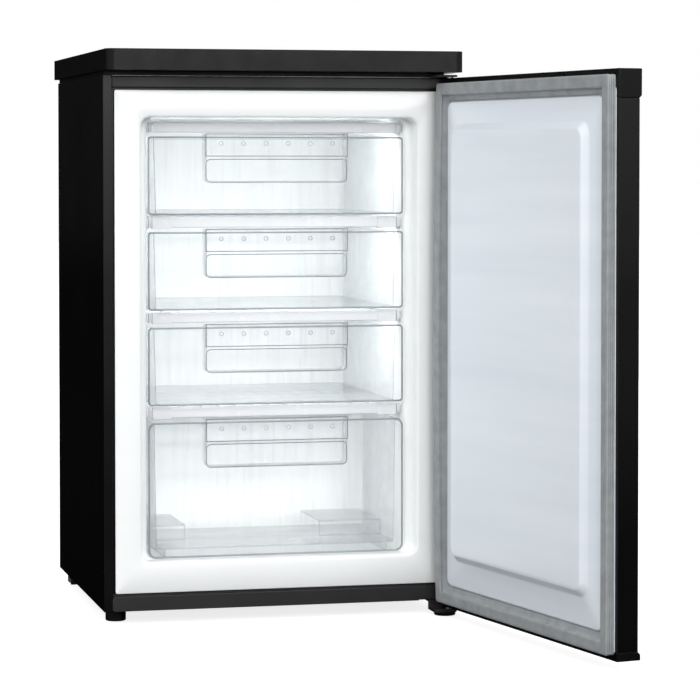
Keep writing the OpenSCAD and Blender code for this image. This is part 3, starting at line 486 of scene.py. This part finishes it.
def finishes() -> dict[Slot, Finish]:
    """List the finish of every material slot."""
    return {
        Slot.WORKTOP_PLASTIC: Moulding("abs_worktop_edge_grained", "060606", "0a0a0a", "1c1c1c",
                                       0.38, specular=0.22),
        Slot.WORKTOP_LAMINATE: Laminate("worktop_laminate_pearl"),
        Slot.BLACK_STEEL: PaintedSteel("steel_black_powder_paint", "030303", "181818", 0.24, 0.3),
        Slot.DARK_RAIL: PaintedSteel("steel_satin_dark_paint", "202020", "404040", 0.42, 0.4),
        Slot.GALVANISED: ZincSheet("steel_hot_dip_spangle"),
        Slot.FOAM: FoamedCore("polyurethane_foam_cut"),
        Slot.LINER_WHITE: FormedSheet("polystyrene_liner_vacuum_formed", "f5f7f7", "f1f3f3"),
        Slot.TRIM_WHITE: Moulding("abs_white_gloss_trim", "e6e8ea", "dfe2e4", "f6f8f8", 0.25, 1.4,
                                  0.006, 0.8, 0.5),
        Slot.CLEAR_DRAWER: ClearMoulding("polystyrene_crystal_clear"),
        Slot.EVAPORATOR_PAINT: PaintedSteel("evaporator_white_epoxy", "dfe3e5", "eceff0", 0.35,
                                            0.5, 0.6, 2.0),
        Slot.ZINC: DrawnMetal("steel_zinc_plated_turned"),
        Slot.SEAL: SoftProfile("pvc_gasket_extruded"),
        Slot.MAGNET_STRIP: SoftProfile("ferrite_strip_bonded", "3a322c", "463c35", 0.7, 0.0),
        Slot.DOOR_LINER: FormedSheet("polystyrene_door_liner_formed", "e8eef5", "dce3eb", 0.34, 55,
                                     0.15, (0.05, 0.05, 1.0)),
        Slot.DOOR_CAP: Moulding("abs_door_cap_gloss", "050505", "080808", "1e1e1e", 0.3, 1.2,
                                0.008, 1.0, 0.2),
        Slot.BLACK_PLASTIC: Moulding("polypropylene_black_grained", "060606", "0a0a0a", "181818",
                                     0.5, 0.7, 0.03, specular=0.2),
        Slot.BLACK_RUBBER: SoftProfile("nitrile_rubber_moulded", "141414", "1f1f1f", 0.7, 0.2),
        Slot.BUSH_PLASTIC: Moulding("acetal_natural_turned", "dcdcd4", "d2d2ca", "eeeee8", 0.4,
                                    0.8, 0.01),
        Slot.COMPRESSOR_BLACK: PaintedSteel("steel_black_enamel_dipped", "0a0a0a", "1c1c1c", 0.28,
                                            0.5, 0.8, 5.0),
        Slot.COPPER: DrawnMetal("copper_drawn_tube", "c4774a", "8d4a2c", 0.3),
        Slot.KNOB_WHITE: Moulding("abs_white_satin", "e4e5e4", "dcdddc", "f4f4f4", 0.45, 0.8,
                                  0.015, 1.0, 0.5),
    }


# ---------------------------------------------------------------- where things are


@dataclass(frozen=True)
class Layout:
    """Where the cabinet and the open door stand in the model."""

    centre_x: float
    front_y: float
    hinge: Vector
    angle: float

    @classmethod
    def read(cls) -> "Layout":
        """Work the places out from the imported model."""
        low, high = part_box("worktop_surround")
        joint = next(j for j in frame["joints"] if j["name"] == "door_hinge")
        return cls((low.x + high.x) / 2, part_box("side_panel_left")[0].y,
                   Vector(joint["pos_m"]), -math.radians(joint["range_deg"][0]))

    def cabinet(self) -> Matrix:
        """Give the matrix from cabinet millimetres to the model."""
        return Matrix.Translation((self.centre_x, self.front_y, 0)) @ Matrix.Scale(MM, 4)

    def door(self) -> Matrix:
        """Give the matrix from the shut door's millimetres to the open door in the model."""
        axis = Matrix.Translation((self.hinge.x, self.hinge.y, 0))
        return axis @ Matrix.Rotation(self.angle, 4, "Z") @ axis.inverted() @ self.cabinet()


# ---------------------------------------------------------------- mesh making


def rounded_ring(half_x: float, low: float, top: float, radius: float, y: float,
                 steps: int = 6, sides: int = 1) -> Ring:
    """Make a rounded rectangle standing in a plane of constant y.

    Args:
        half_x: half its width.
        low: its lowest height.
        top: its highest height.
        radius: the radius of its corners.
        y: the plane that it stands in.
        steps: facets in each corner.
        sides: pieces that each straight side is cut into.

    Returns:
        Its points, counter-clockwise as seen from the front.
    """
    centres = [(half_x - radius, top - radius, 0), (radius - half_x, top - radius, 90),
               (radius - half_x, low + radius, 180), (half_x - radius, low + radius, 270)]
    arcs = []
    for cx, cz, start in centres:
        angles = [math.radians(start + 90 * k / steps) for k in range(steps + 1)]
        arcs.append([(cx + radius * math.cos(a), y, cz + radius * math.sin(a)) for a in angles])
    ring: Ring = []
    for arc, following in zip(arcs, arcs[1:] + arcs[:1]):
        ring += arc
        a, b = Vector(arc[-1]), Vector(following[0])
        ring += [tuple(a.lerp(b, k / sides)) for k in range(1, sides)]
    return ring


def loft(rings: Sequence[Ring], closed: bool = False, capped: bool = False) -> bmesh.types.BMesh:
    """Join rings of equal length into one skin.

    Args:
        rings: the rings in order.
        closed: whether the last ring joins the first.
        capped: whether the last ring is filled.

    Returns:
        The skin as a new bmesh.
    """
    bm = bmesh.new()
    rows = [[bm.verts.new(p) for p in ring] for ring in rings]
    pairs = list(zip(rows, rows[1:])) + ([(rows[-1], rows[0])] if closed else [])
    for first, second in pairs:
        for k in range(len(first)):
            j = (k + 1) % len(first)
            bm.faces.new((first[k], first[j], second[j], second[k]))
    if capped:
        bm.faces.new(rows[-1])
    bmesh.ops.recalc_face_normals(bm, faces=bm.faces)
    return bm


def fillet(start: tuple[float, float], end: tuple[float, float], bulge: float = 1.0,
           steps: int = 4) -> list[tuple[float, float]]:
    """Give a quarter-round between two points of a profile.

    Args:
        start: where the round starts.
        end: where it ends.
        bulge: 1 starts along the first number, -1 along the second.
        steps: how many facets it has.

    Returns:
        The points, both ends included.
    """
    points = []
    for k in range(steps + 1):
        a = math.pi / 2 * k / steps
        u, v = (math.sin(a), 1 - math.cos(a)) if bulge > 0 else (1 - math.cos(a), math.sin(a))
        points.append((start[0] + (end[0] - start[0]) * u, start[1] + (end[1] - start[1]) * v))
    return points


class Workshop:
    """Turns bmeshes and CAD nodes into finished pieces."""

    def __init__(self, layout: Layout) -> None:
        """Make every finish and note which slot each CAD node takes."""
        self.layout = layout
        self.materials = {slot: finish.build() for slot, finish in finishes().items()}
        # A clear finish painted darker grey and more opaque: painted refraction shade for the
        # drawers' rolled rim beads.
        self.edge_shade_clear = ClearMoulding("polystyrene_crystal_painted_edge_shade", "a2a8ac", "24282b", 0.7,
                                         1.0).build()
        parts = frame["record"]["subparts"]
        self.slots = {part["node"]: Slot(part["material_slot"]) for part in parts}

    def piece(self, name: str, bm: bmesh.types.BMesh, matrix: Matrix, slot: Slot, body: str,
              nodes: Sequence[str] = (), angle: float = 40.0,
              material: bpy.types.Material | None = None) -> bpy.types.Object:
        """Finish a bmesh as one piece.

        Args:
            name: the piece's name.
            bm: its shape, which is used up.
            matrix: from the shape's units to the model.
            slot: the finish it takes.
            body: the CAD body that it moves with.
            nodes: the CAD nodes that it stands for.
            angle: edges sharper than this stay sharp.
            material: a variant of the slot's finish, where the piece needs one.

        Returns:
            The new object.
        """
        bm.transform(matrix)
        mesh = bpy.data.meshes.new(name)
        bm.to_mesh(mesh)
        bm.free()
        mesh.shade_smooth()
        mesh.set_sharp_from_angle(angle=math.radians(angle))
        obj = bpy.data.objects.new(name, mesh)
        bpy.context.scene.collection.objects.link(obj)
        mesh.materials.append(material or self.materials[slot])
        if nodes:
            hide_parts(*nodes)
        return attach(obj, body)

    def soften(self, node: str, width_mm: float = 0.0, segments: int = 3,
               angle: float = 34.0) -> bpy.types.Object:
        """Stand in for a CAD node with a copy whose edges are rounded and whose curves are smooth.

        Args:
            node: the CAD node's name.
            width_mm: how wide each edge's rounding is, or 0 for none.
            segments: facets in each rounding.
            angle: edges flatter than this are part of a curve.

        Returns:
            The copy, already riding its body.
        """
        source = frame["nodes"][node]
        bm = bmesh.new()
        bm.from_mesh(source.data)
        bmesh.ops.remove_doubles(bm, verts=bm.verts, dist=2e-6)
        bmesh.ops.dissolve_limit(bm, angle_limit=math.radians(0.4), verts=bm.verts,
                                 edges=bm.edges)
        obj = self.piece(node + "_look", bm, Matrix.Identity(4), self.slots[node],
                         source["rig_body"], [node], angle)
        if width_mm:
            bevel = obj.modifiers.new("rounding", "BEVEL")
            bevel.width = width_mm * MM
            bevel.segments = segments
            bevel.limit_method = "ANGLE"
            bevel.angle_limit = math.radians(angle)
            weigh = obj.modifiers.new("weigh", "WEIGHTED_NORMAL")
            weigh.keep_sharp = True
            graph = bpy.context.evaluated_depsgraph_get()
            done = bpy.data.meshes.new_from_object(obj.evaluated_get(graph))
            obj.modifiers.clear()
            obj.data = done
        return obj

    def dress(self) -> None:
        """Give every CAD node its finish."""
        for name, obj in frame["nodes"].items():
            obj.data.materials.clear()
            obj.data.materials.append(self.materials[self.slots[name]])


# ---------------------------------------------------------------- cabinet


@dataclass
class Worktop:
    """Moulded surround and the laminated board let into it."""

    shop: Workshop
    edge_mm: float = 2.2

    def build(self) -> None:
        """Round the surround's edges and the board's rim."""
        self.shop.soften("worktop_surround", self.edge_mm, 4)
        self.shop.soften("worktop_board", 0.8, 2)


@dataclass
class Shell:
    """Steel side panels, rails and the sheet metal behind them."""

    shop: Workshop

    def build(self) -> None:
        """Fold the rails' edges softly; the flat sheets keep their CAD shape."""
        self.shop.soften("top_rail", 0.9, 3)
        self.shop.soften("bottom_rail", 0.9, 3)
        self.shop.soften("back_panel", 0.0)
        self.shop.soften("bottom_hinge_bracket", 1.0, 3)
        self.shop.soften("top_hinge_plate", 0.6, 2)
        for node in ("top_hinge_pin", "bottom_hinge_pin", "hinge_screws"):
            self.shop.soften(node, 0.35, 2)
        self.shop.soften("foot_insert", 0.3, 2)
        self._slit_shadow_strip()

    def _slit_shadow_strip(self) -> None:
        """Lay a soft black strip in the slit between the top rail and the worktop, as painted
        shadow filling the gap.
        """
        low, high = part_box("top_rail")
        rings = [[(x, y, z) for x, z in ((low.x, high.z - 0.0005), (high.x, high.z - 0.0005),
                                         (high.x, high.z + rise), (low.x, high.z + rise))]
                 for y, rise in ((low.y + 0.0016, 0.0012), (low.y + 0.0008, 0.0019),
                                 (low.y + 0.0013, 0.0023), (low.y + 0.006, 0.0023))]
        self.shop.piece("top_slit_shadow_strip", loft(rings, capped=True), Matrix.Identity(4),
                        Slot.BLACK_RUBBER, "cabinet")


@dataclass
class StorageLiner:
    """One vacuum-formed sheet: pale border, wide mouth, then the storage space."""

    shop: Workshop
    border_x: float = 252.8
    border_z: tuple[float, float] = (48.0, 800.3)
    mouth_x: float = 213.0
    mouth_depth: float = 33.0
    space_x: float = 200.0
    space_z: tuple[float, float] = (94.1, 760.0)
    corner: float = 14.0
    lip: float = 4.0
    step: tuple[float, float, float] = (268.0, 227.5, 271.5)
    step_run: float = 44.0
    back: float = 420.0
    ledge_run: tuple[float, float] = (56.0, 398.0)
    ledge_drop: float = 15.0

    def build(self) -> None:
        """Form the sheet and put its shelf ledges back on the side walls."""
        low, top = self.space_z
        face = 0.5
        rings = [self._ring(self.border_x, *self.border_z, 3, 2.4),
                 self._ring(self.border_x - 0.2, self.border_z[0] + 0.2, self.border_z[1] - 0.2,
                            3, 1.0),
                 self._ring(self.border_x - 1, self.border_z[0] + 1, self.border_z[1] - 1, 3, face)]
        for grow, y in fillet((self.lip, face), (0, face + self.lip)):
            rings.append(self._ring(self.mouth_x + grow, low - grow, top + grow,
                                    self.corner + grow, y))
        deep = self.mouth_depth
        for x, y in fillet((self.mouth_x, deep - 5), (self.mouth_x - 5, deep), -1):
            rings.append(self._ring(x, low, top, self.corner, y))
        for x, y in fillet((self.space_x + 4, deep), (self.space_x, deep + 4)):
            rings.append(self._ring(x, low, top, self.corner, y))
        step_y, mid_z, high_z = self.step
        rings.append(self._ring(self.space_x, low, top, self.corner, step_y - 10))
        for y, z in fillet((step_y - 8, low), (step_y, low + 8), 1):
            rings.append(self._ring(self.space_x, z, top, self.corner, y))
        for y, z in ((step_y + 0.3, mid_z), (step_y + self.step_run, high_z)):
            rings.append(self._ring(self.space_x, z, top, self.corner, y))
        for inset, y in fillet((0, self.back - 14), (14, self.back), -1):
            rings.append(self._ring(self.space_x - inset, high_z + inset, top - inset,
                                    self.corner, y))
        shop = self.shop
        shop.piece("inner_liner_look", loft(rings, capped=True), shop.layout.cabinet(),
                   Slot.LINER_WHITE, "cabinet", ["inner_liner"], 60)
        self._ledges()

    @staticmethod
    def _ring(half_x: float, low: float, top: float, radius: float, y: float) -> Ring:
        """Make one ring of the sheet."""
        return rounded_ring(half_x, low, top, radius, y, 6, 2)

    def _ledges(self) -> None:
        """Form the soft ledges that carry the cooling shelves."""
        for number in range(1, 5):
            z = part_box(f"shelf_trim_{number}")[1].z / MM - self.ledge_drop
            for side in (-1, 1):
                bm = bmesh.new()
                start, end = self.ledge_run
                profile = [(0, 4), (-4.5, 4), (-6.6, 2.4), (-7, 0), (-6.2, -2.6), (0, -5)]
                rows = [[bm.verts.new((side * (self.space_x + 0.5 + dx * scale), y, z + dz * scale))
                         for dx, dz in profile]
                        for y, scale in ((start, 0.2), (start + 4, 1), (end - 4, 1), (end, 0.2))]
                for first, second in zip(rows, rows[1:]):
                    for k in range(len(profile) - 1):
                        bm.faces.new((first[k], first[k + 1], second[k + 1], second[k]))
                bmesh.ops.recalc_face_normals(bm, faces=bm.faces)
                self.shop.piece(f"liner_ledge_{number}_{'left' if side < 0 else 'right'}", bm,
                                self.shop.layout.cabinet(), Slot.LINER_WHITE, "cabinet")


@dataclass
class CoolingShelves:
    """Evaporator tube, shelf wires and the white trims with their clips."""

    shop: Workshop
    # Each rib of a tab: how far out it starts, its width, its set-back and its drop.
    ribs: tuple[tuple[float, float, float, float], ...] = (
        (0.4, 3.2, 2.0, 0.6), (4.0, 2.4, 0.6, 0.0), (6.8, 3.6, 3.0, 1.6))

    def build(self) -> None:
        """Smooth the tube and wires, round the trims and add the moulded end tabs."""
        self.shop.soften("evaporator_tube")
        self.shop.soften("evaporator_wires")
        self.shop.soften("trim_clips", 0.5, 2)
        for number in range(1, 5):
            node = f"shelf_trim_{number}"
            self.shop.soften(node, 0.7, 3)
            self._tabs(number, *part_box(node))

    def _tabs(self, number: int, low: Vector, high: Vector) -> None:
        """Add the ribbed tabs that close the gap beside one trim."""
        for side in (-1, 1):
            edge = (high.x if side > 0 else low.x) / MM
            bm = bmesh.new()
            for start, width, back, drop in self.ribs:
                z0, z1 = low.z / MM + drop, high.z / MM - drop
                y0, y1 = low.y / MM + back, high.y / MM - 1.0
                box = bmesh.ops.create_cube(bm, size=1.0)["verts"]
                middle = edge + side * (start + width / 2)
                for v in box:
                    v.co = (middle + v.co.x * width, (y0 + y1) / 2 + v.co.y * (y1 - y0),
                            (z0 + z1) / 2 + v.co.z * (z1 - z0))
                bmesh.ops.bevel(bm, geom=list({e for v in box for e in v.link_edges}),
                                offset=0.6, segments=2, affect="EDGES", profile=0.5)
            self.shop.piece(f"trim_tab_{number}_{'left' if side < 0 else 'right'}", bm,
                            Matrix.Scale(MM, 4), Slot.TRIM_WHITE, "cabinet")


@dataclass
class Drawer:
    """One clear drawer: its front with handle and finger pocket, and its tub."""

    shop: Workshop
    number: int
    bead: float = 1.3
    setback: float = 30.0
    fine_bead: float = 0.6
    pocket_x: float = 109.2
    pocket_drop: tuple[float, float] = (73.4, 38.8)
    lip_x: float = 109.6
    lip_drop: tuple[float, float] = (34.0, 0.6)
    lip_proud: float = 2.9
    pitch: float = 34.5
    dimple_radius: float = 3.4
    dimple_drop: float = 15.0

    def build(self) -> None:
        """Round every moulded edge so that it catches the light, and add the rolled rim beads,
        whose dark grey is painted refraction shade drawing the outlines.
        """
        front = f"drawer_front_{self.number}"
        self.shop.soften(front, 0.4, 2, 30)
        self.shop.soften(f"drawer_tub_{self.number}", 0.5, 2, 30)
        low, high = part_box(front)
        half = (high.x - low.x) / 2 / MM
        top = high.z / MM - 4.5
        corner = 11.0 if self.number == 4 else 5.0
        self._rim(f"drawer_rim_{self.number}", half - self.bead, low.z / MM + self.bead,
                  top - self.bead, corner, self.bead, self.setback)
        self._dimples(high.z / MM - self.dimple_drop)
        lip = high.z / MM
        self._rim(f"drawer_pocket_rim_{self.number}", self.pocket_x, lip - self.pocket_drop[0],
                  lip - self.pocket_drop[1], 7.5, self.fine_bead, self.setback)
        self._rim(f"drawer_lip_rim_{self.number}", self.lip_x, lip - self.lip_drop[0],
                  lip - self.lip_drop[1], 1.0, self.fine_bead, self.setback - self.lip_proud)

    def _rim(self, name: str, half_x: float, low: float, top: float, corner: float,
             r: float, face: float) -> None:
        """Sweep a half-round bead of radius r round an outline on a face of the drawer."""
        section = [(r * math.cos(a), -r * math.sin(a)) for a in
                   (math.radians(d) for d in (0, 30, 60, 90, 120, 150, 180))]
        rings = [rounded_ring(half_x + u, low - u, top + u, corner + u, face + v, 6, 2)
                 for u, v in section]
        # The bead's dark grey finish is painted refraction shade that draws the drawer's outline.
        self.shop.piece(name, loft(rings, closed=True), self.shop.layout.cabinet(),
                        Slot.CLEAR_DRAWER, f"drawer_{self.number}",
                        material=self.shop.edge_shade_clear)

    def _dimples(self, z: float) -> None:
        """Set the round dimples along the lip, each a shallow bright dome in a dark ring of painted
        refraction shade.
        """
        bm = bmesh.new()
        for k in range(6):
            dome = bmesh.ops.create_uvsphere(bm, u_segments=16, v_segments=10,
                                             radius=self.dimple_radius)["verts"]
            for v in dome:
                v.co = ((k - 2.5) * self.pitch + v.co.x, self.setback - 2.6 + v.co.y * 0.35,
                        z + v.co.z)
        self.shop.piece(f"drawer_dimples_{self.number}", bm, self.shop.layout.cabinet(),
                        Slot.CLEAR_DRAWER, f"drawer_{self.number}")


# ---------------------------------------------------------------- door


@dataclass
class DoorLeaf:
    """Folded skin, flared caps and the formed liner with its raised panel."""

    shop: Workshop
    inner: float = -14.0
    edge_x: float = 262.7
    edge_z: tuple[float, float] = (26.8, 794.0)
    dam_x: float = 236.0
    dam_z: tuple[float, float] = (51.5, 783.0)
    dam_rise: float = 6.0
    foot_rise: float = 11.0
    foot_x: float = 207.0
    foot_z: tuple[float, float] = (94.6, 748.0)
    panel_x: float = 199.0
    panel_z: tuple[float, float] = (102.1, 740.0)
    panel_rise: float = 20.0

    def build(self) -> None:
        """Round the caps and form the liner."""
        self.shop.soften("door_top_cap", 1.6, 4)
        self.shop.soften("door_bottom_cap", 1.6, 4)
        self.shop.soften("hinge_bushes", 0.3, 2)
        self.shop.piece("door_liner_look", loft(self._rings(), capped=True),
                        self.shop.layout.door(), Slot.DOOR_LINER, "door", ["door_liner"], 60)

    def _rings(self) -> list[Ring]:
        """List the liner's rings from its tucked-in edge to the raised panel."""
        base = self.inner + 0.4
        rings = [rounded_ring(self.edge_x, *self.edge_z, 1.5, self.inner - 1.2),
                 rounded_ring(self.edge_x, *self.edge_z, 1.5, base - 0.3),
                 rounded_ring(self.edge_x - 0.5, self.edge_z[0] + 0.5, self.edge_z[1] - 0.5,
                              1.5, base)]

        def ledge(grow: float, y: float) -> Ring:
            """Make a ring round the dam, grown outwards."""
            return rounded_ring(self.dam_x + grow, self.dam_z[0] - grow, self.dam_z[1] + grow,
                                12 + grow, y)

        high = base + self.dam_rise
        rings.append(ledge(3.5, base))
        rings += [ledge(grow, y) for grow, y in fillet((2.6, base), (0.6, base + 3))]
        rings += [ledge(grow, y) for grow, y in fillet((0.4, high - 2.4), (-2, high), -1)]

        def slope(t: float, y: float, r: float) -> Ring:
            """Make a ring on the slope: t is 0 at the panel's foot and 1 at its top edge."""
            x = self.foot_x + (self.panel_x - self.foot_x) * t
            z0 = self.foot_z[0] + (self.panel_z[0] - self.foot_z[0]) * t
            z1 = self.foot_z[1] + (self.panel_z[1] - self.foot_z[1]) * t
            return rounded_ring(x, z0, z1, r, y)

        top = self.inner + self.panel_rise
        foot = base + self.foot_rise
        rings += [slope(-0.45, foot - 0.7, 22), slope(-0.15, foot, 21), slope(0.0, foot + 1.2, 20)]
        rings += [slope(0.82, top - 2.2, 15), slope(0.95, top - 0.8, 14.5),
                  slope(1.2, top - 0.1, 14)]
        rings.append(slope(1.8, top, 13))
        return rings


@dataclass
class Gasket:
    """Magnetic bellows gasket round the door, pulled a little longer by its hinge side."""

    shop: Workshop
    half_x: float = 262.0
    low: float = 22.5
    top: float = 812.0
    base: float = -14.0
    stretch: float = 0.42
    shut_share: float = 0.68
    section: tuple[tuple[float, float], ...] = (
        (1.0, 0.0), (0.2, 1.2), (1.1, 3.0), (0.2, 4.6), (1.3, 6.2), (0.3, 8.0), (0.9, 9.4),
        (0.0, 10.6), (0.2, 12.0), (1.4, 12.8), (5.0, 12.9), (9.5, 12.5), (14.0, 12.9),
        (16.6, 12.8), (17.8, 12.1), (18.1, 10.8), (17.2, 9.0), (18.4, 7.2), (19.6, 5.6),
        (22.0, 4.8), (25.8, 4.4), (27.0, 3.2), (26.8, 0.6))

    def build(self) -> None:
        """Sweep the section round the door."""
        rings = [self._pulled(rounded_ring(self.half_x - inset, self.low + inset, self.top - inset,
                                           max(1.2, 3.0 - inset * 0.2), self.base + height, 2, 28))
                 for inset, height in self.section]
        layout = self.shop.layout
        seal = self.shop.piece("door_gasket_look", loft(rings, closed=True), layout.door(),
                               Slot.SEAL, "door", ["door_gasket"], 50)
        outwards = layout.door().to_3x3() @ Vector((0, 1, 0))
        anchor = layout.door() @ Vector((0, self.base, 400))
        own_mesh(seal)

    def _pulled(self, ring: Ring) -> Ring:
        """Lift one ring by its hinge side, most at mid height."""
        pulled = []
        for x, y, z in ring:
            share = min(max((x - self.half_x + 34) / 6, 0), 1)
            along = min(max((z - self.low) / (self.top - self.low), 0), 1)
            lift = 1 + self.stretch * share * math.sin(math.pi * along) ** 0.8
            pulled.append((x, self.base + (y - self.base) * lift, z))
        return pulled


# ---------------------------------------------------------------- feet and machine


@dataclass
class Running:
    """Feet and rollers."""

    shop: Workshop

    def build(self) -> None:
        """Round the feet and the rollers."""
        for node in ("foot_left", "foot_right"):
            self.shop.soften(node, 0.8, 3)
        for node in ("roller_left", "roller_right"):
            self.shop.soften(node, 1.4, 3)
        self.shop.soften("roller_axles", 0.4, 2)
        self.shop.soften("roller_brackets", 0.5, 2)


@dataclass
class CoolingMachine:
    """Compressor, condenser and the pieces round them."""

    shop: Workshop
    smooth: tuple[str, ...] = ("compressor_shell", "condenser_tube", "condenser_wires",
                               "filter_drier", "suction_line")
    rounded: dict[str, float] = field(default_factory=lambda: {
        "relay_cover": 3.0, "thermostat_box": 3.0, "thermostat_knob": 0.9, "cord_gland": 1.0,
        "compressor_grommets": 1.2, "compressor_bolts": 0.6, "compressor_plate": 0.5,
        "condenser_brackets": 1.2})

    def build(self) -> None:
        """Smooth the pipes and shell, and round the mouldings."""
        for node in self.smooth:
            self.shop.soften(node, 0.0, angle=30)
        for node, width in self.rounded.items():
            self.shop.soften(node, width, 3)


# ---------------------------------------------------------------- studio


@dataclass
class Studio:
    """The pale floor, the soft lights and the camera."""

    eye: Point = (-0.9618, -4.1283, 0.6945)
    turn_degrees: float = 13.64
    tilt_degrees: float = 2.0
    lens_mm: float = 144.68
    shift: tuple[float, float] = (0.0073, -0.1296)
    floor_size: float = 40.0
    front_light: float = 1.14
    back_light: float = 0.015
    # Watts of the soft light hidden behind each shelf trim.
    shelf_light: tuple[float, ...] = (0.46, 0.42, 0.36, 0.04)

    def build(self) -> None:
        """Build the floor, the lights and the camera."""
        self._floor()
        self._world()
        self._lamp("key", (0.8, -5.4, 2.6), 3.4, 118)
        self._lamp("side", (-4.2, -2.6, 1.8), 2.4, 70)
        self._lamp("top", (0.2, -1.6, 4.2), 2.6, 24)
        self._lamp("rear", (1.8, 4.2, 1.5), 2.6, 70)
        self._mouth_fill()
        self._camera()

    def _floor(self) -> None:
        """Lay the floor."""
        half = self.floor_size / 2
        mesh = bpy.data.meshes.new("studio_floor")
        mesh.from_pydata([(-half, -half, 0), (half, -half, 0), (half, half, 0), (-half, half, 0)],
                         [], [(0, 1, 2, 3)])
        floor = bpy.data.objects.new("studio_floor", mesh)
        bpy.context.scene.collection.objects.link(floor)
        mesh.materials.append(StudioFloor("studio_floor_paint_rolled").build())

    def _world(self) -> None:
        """Make a white surround whose light comes mostly from the front and above."""
        world = bpy.data.worlds.new("studio")
        world.use_nodes = True
        tree = world.node_tree
        tree.nodes.clear()

        def add(kind: str, links: dict | None = None, **settings: object) -> bpy.types.Node:
            """Add a node with its settings and links."""
            node = tree.nodes.new(kind)
            for key, value in settings.items():
                setattr(node, key, value)
            for key, value in (links or {}).items():
                if isinstance(value, bpy.types.NodeSocket):
                    tree.links.new(value, node.inputs[key])
                else:
                    node.inputs[key].default_value = value
            return node

        way = add("ShaderNodeTexCoord").outputs["Generated"]
        front = add("ShaderNodeSeparateXYZ", {0: way}).outputs[1]
        level = add("ShaderNodeMapRange", {
            "Value": front, "From Min": 0.75, "From Max": -0.35, "To Min": self.back_light,
            "To Max": self.front_light}, clamp=True).outputs[0]
        seen = add("ShaderNodeLightPath").outputs["Is Camera Ray"]
        strength = add("ShaderNodeMix", {0: seen, 2: level, 3: 1.0}, data_type="FLOAT").outputs[0]
        shade = add("ShaderNodeBackground", {"Color": (1, 1, 1, 1), "Strength": strength})
        add("ShaderNodeOutputWorld", {"Surface": shade.outputs[0]})
        bpy.context.scene.world = world

    @staticmethod
    def _lamp(name: str, place: Point, size: float, watts: float) -> None:
        """Hang one square soft box that looks at the middle of the freezer."""
        light = bpy.data.lights.new(name, "AREA")
        light.size = size
        light.energy = watts
        lamp = bpy.data.objects.new(name, light)
        lamp.location = place
        aim = Vector((0, 0, 0.42)) - Vector(place)
        lamp.rotation_euler = aim.to_track_quat("-Z", "Y").to_euler()
        lamp.visible_glossy = name != "side"
        bpy.context.scene.collection.objects.link(lamp)

    def _mouth_fill(self) -> None:
        """Fill the storage space with soft light, like reflectors hidden behind its trims."""
        low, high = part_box("inner_liner")
        places = [("mouth_fill", low.y - 0.004, (low.z + high.z) / 2, 0.62, 90, 0.1)]
        for number, power in enumerate(self.shelf_light, 1):
            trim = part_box(f"shelf_trim_{number}")
            places.append((f"fill_{number}", trim[1].y + 0.012, trim[0].z - 0.014, 0.02, 72, power))
        for name, y, z, height, tilt, power in places:
            light = bpy.data.lights.new(name, "AREA")
            light.shape = "RECTANGLE"
            light.size, light.size_y = 0.36, height
            light.energy = power
            lamp = bpy.data.objects.new(name, light)
            lamp.location = ((low.x + high.x) / 2, y, z)
            lamp.rotation_euler = (math.radians(tilt), 0, 0)
            lamp.visible_camera = False
            lamp.visible_glossy = False
            bpy.context.scene.collection.objects.link(lamp)

    def _camera(self) -> None:
        """Place the camera."""
        data = bpy.data.cameras.new("camera")
        data.sensor_width = 36.0
        data.lens = self.lens_mm
        data.shift_x, data.shift_y = self.shift
        data.clip_end = 100
        camera = bpy.data.objects.new("camera", data)
        camera.location = self.eye
        camera.rotation_euler = (math.radians(90 - self.tilt_degrees), 0,
                                 -math.radians(self.turn_degrees))
        bpy.context.scene.collection.objects.link(camera)
        bpy.context.scene.camera = camera


def main() -> None:
    """Build the freezer's looks in order and report each piece."""
    logging.basicConfig(level=logging.INFO, format="%(name)s: %(message)s")
    scene = bpy.context.scene
    scene.view_settings.view_transform = "Standard"
    scene.cycles.max_bounces = 14
    scene.cycles.diffuse_bounces = 6
    scene.cycles.transparent_max_bounces = 48
    Studio().build()
    shop = Workshop(Layout.read())
    shop.dress()
    pieces: list[tuple[str, Callable[[], None]]] = [
        ("worktop", Worktop(shop).build), ("shell", Shell(shop).build),
        ("storage liner", StorageLiner(shop).build),
        ("cooling shelves", CoolingShelves(shop).build),
        *((f"drawer {n}", Drawer(shop, n).build) for n in range(1, 5)),
        ("door", DoorLeaf(shop).build), ("gasket", Gasket(shop).build),
        ("feet and rollers", Running(shop).build),
        ("cooling machine", CoolingMachine(shop).build)]
    for name, build in pieces:
        build()
        LOG.info("built %s", name)


if __name__ == "__main__":
    main()
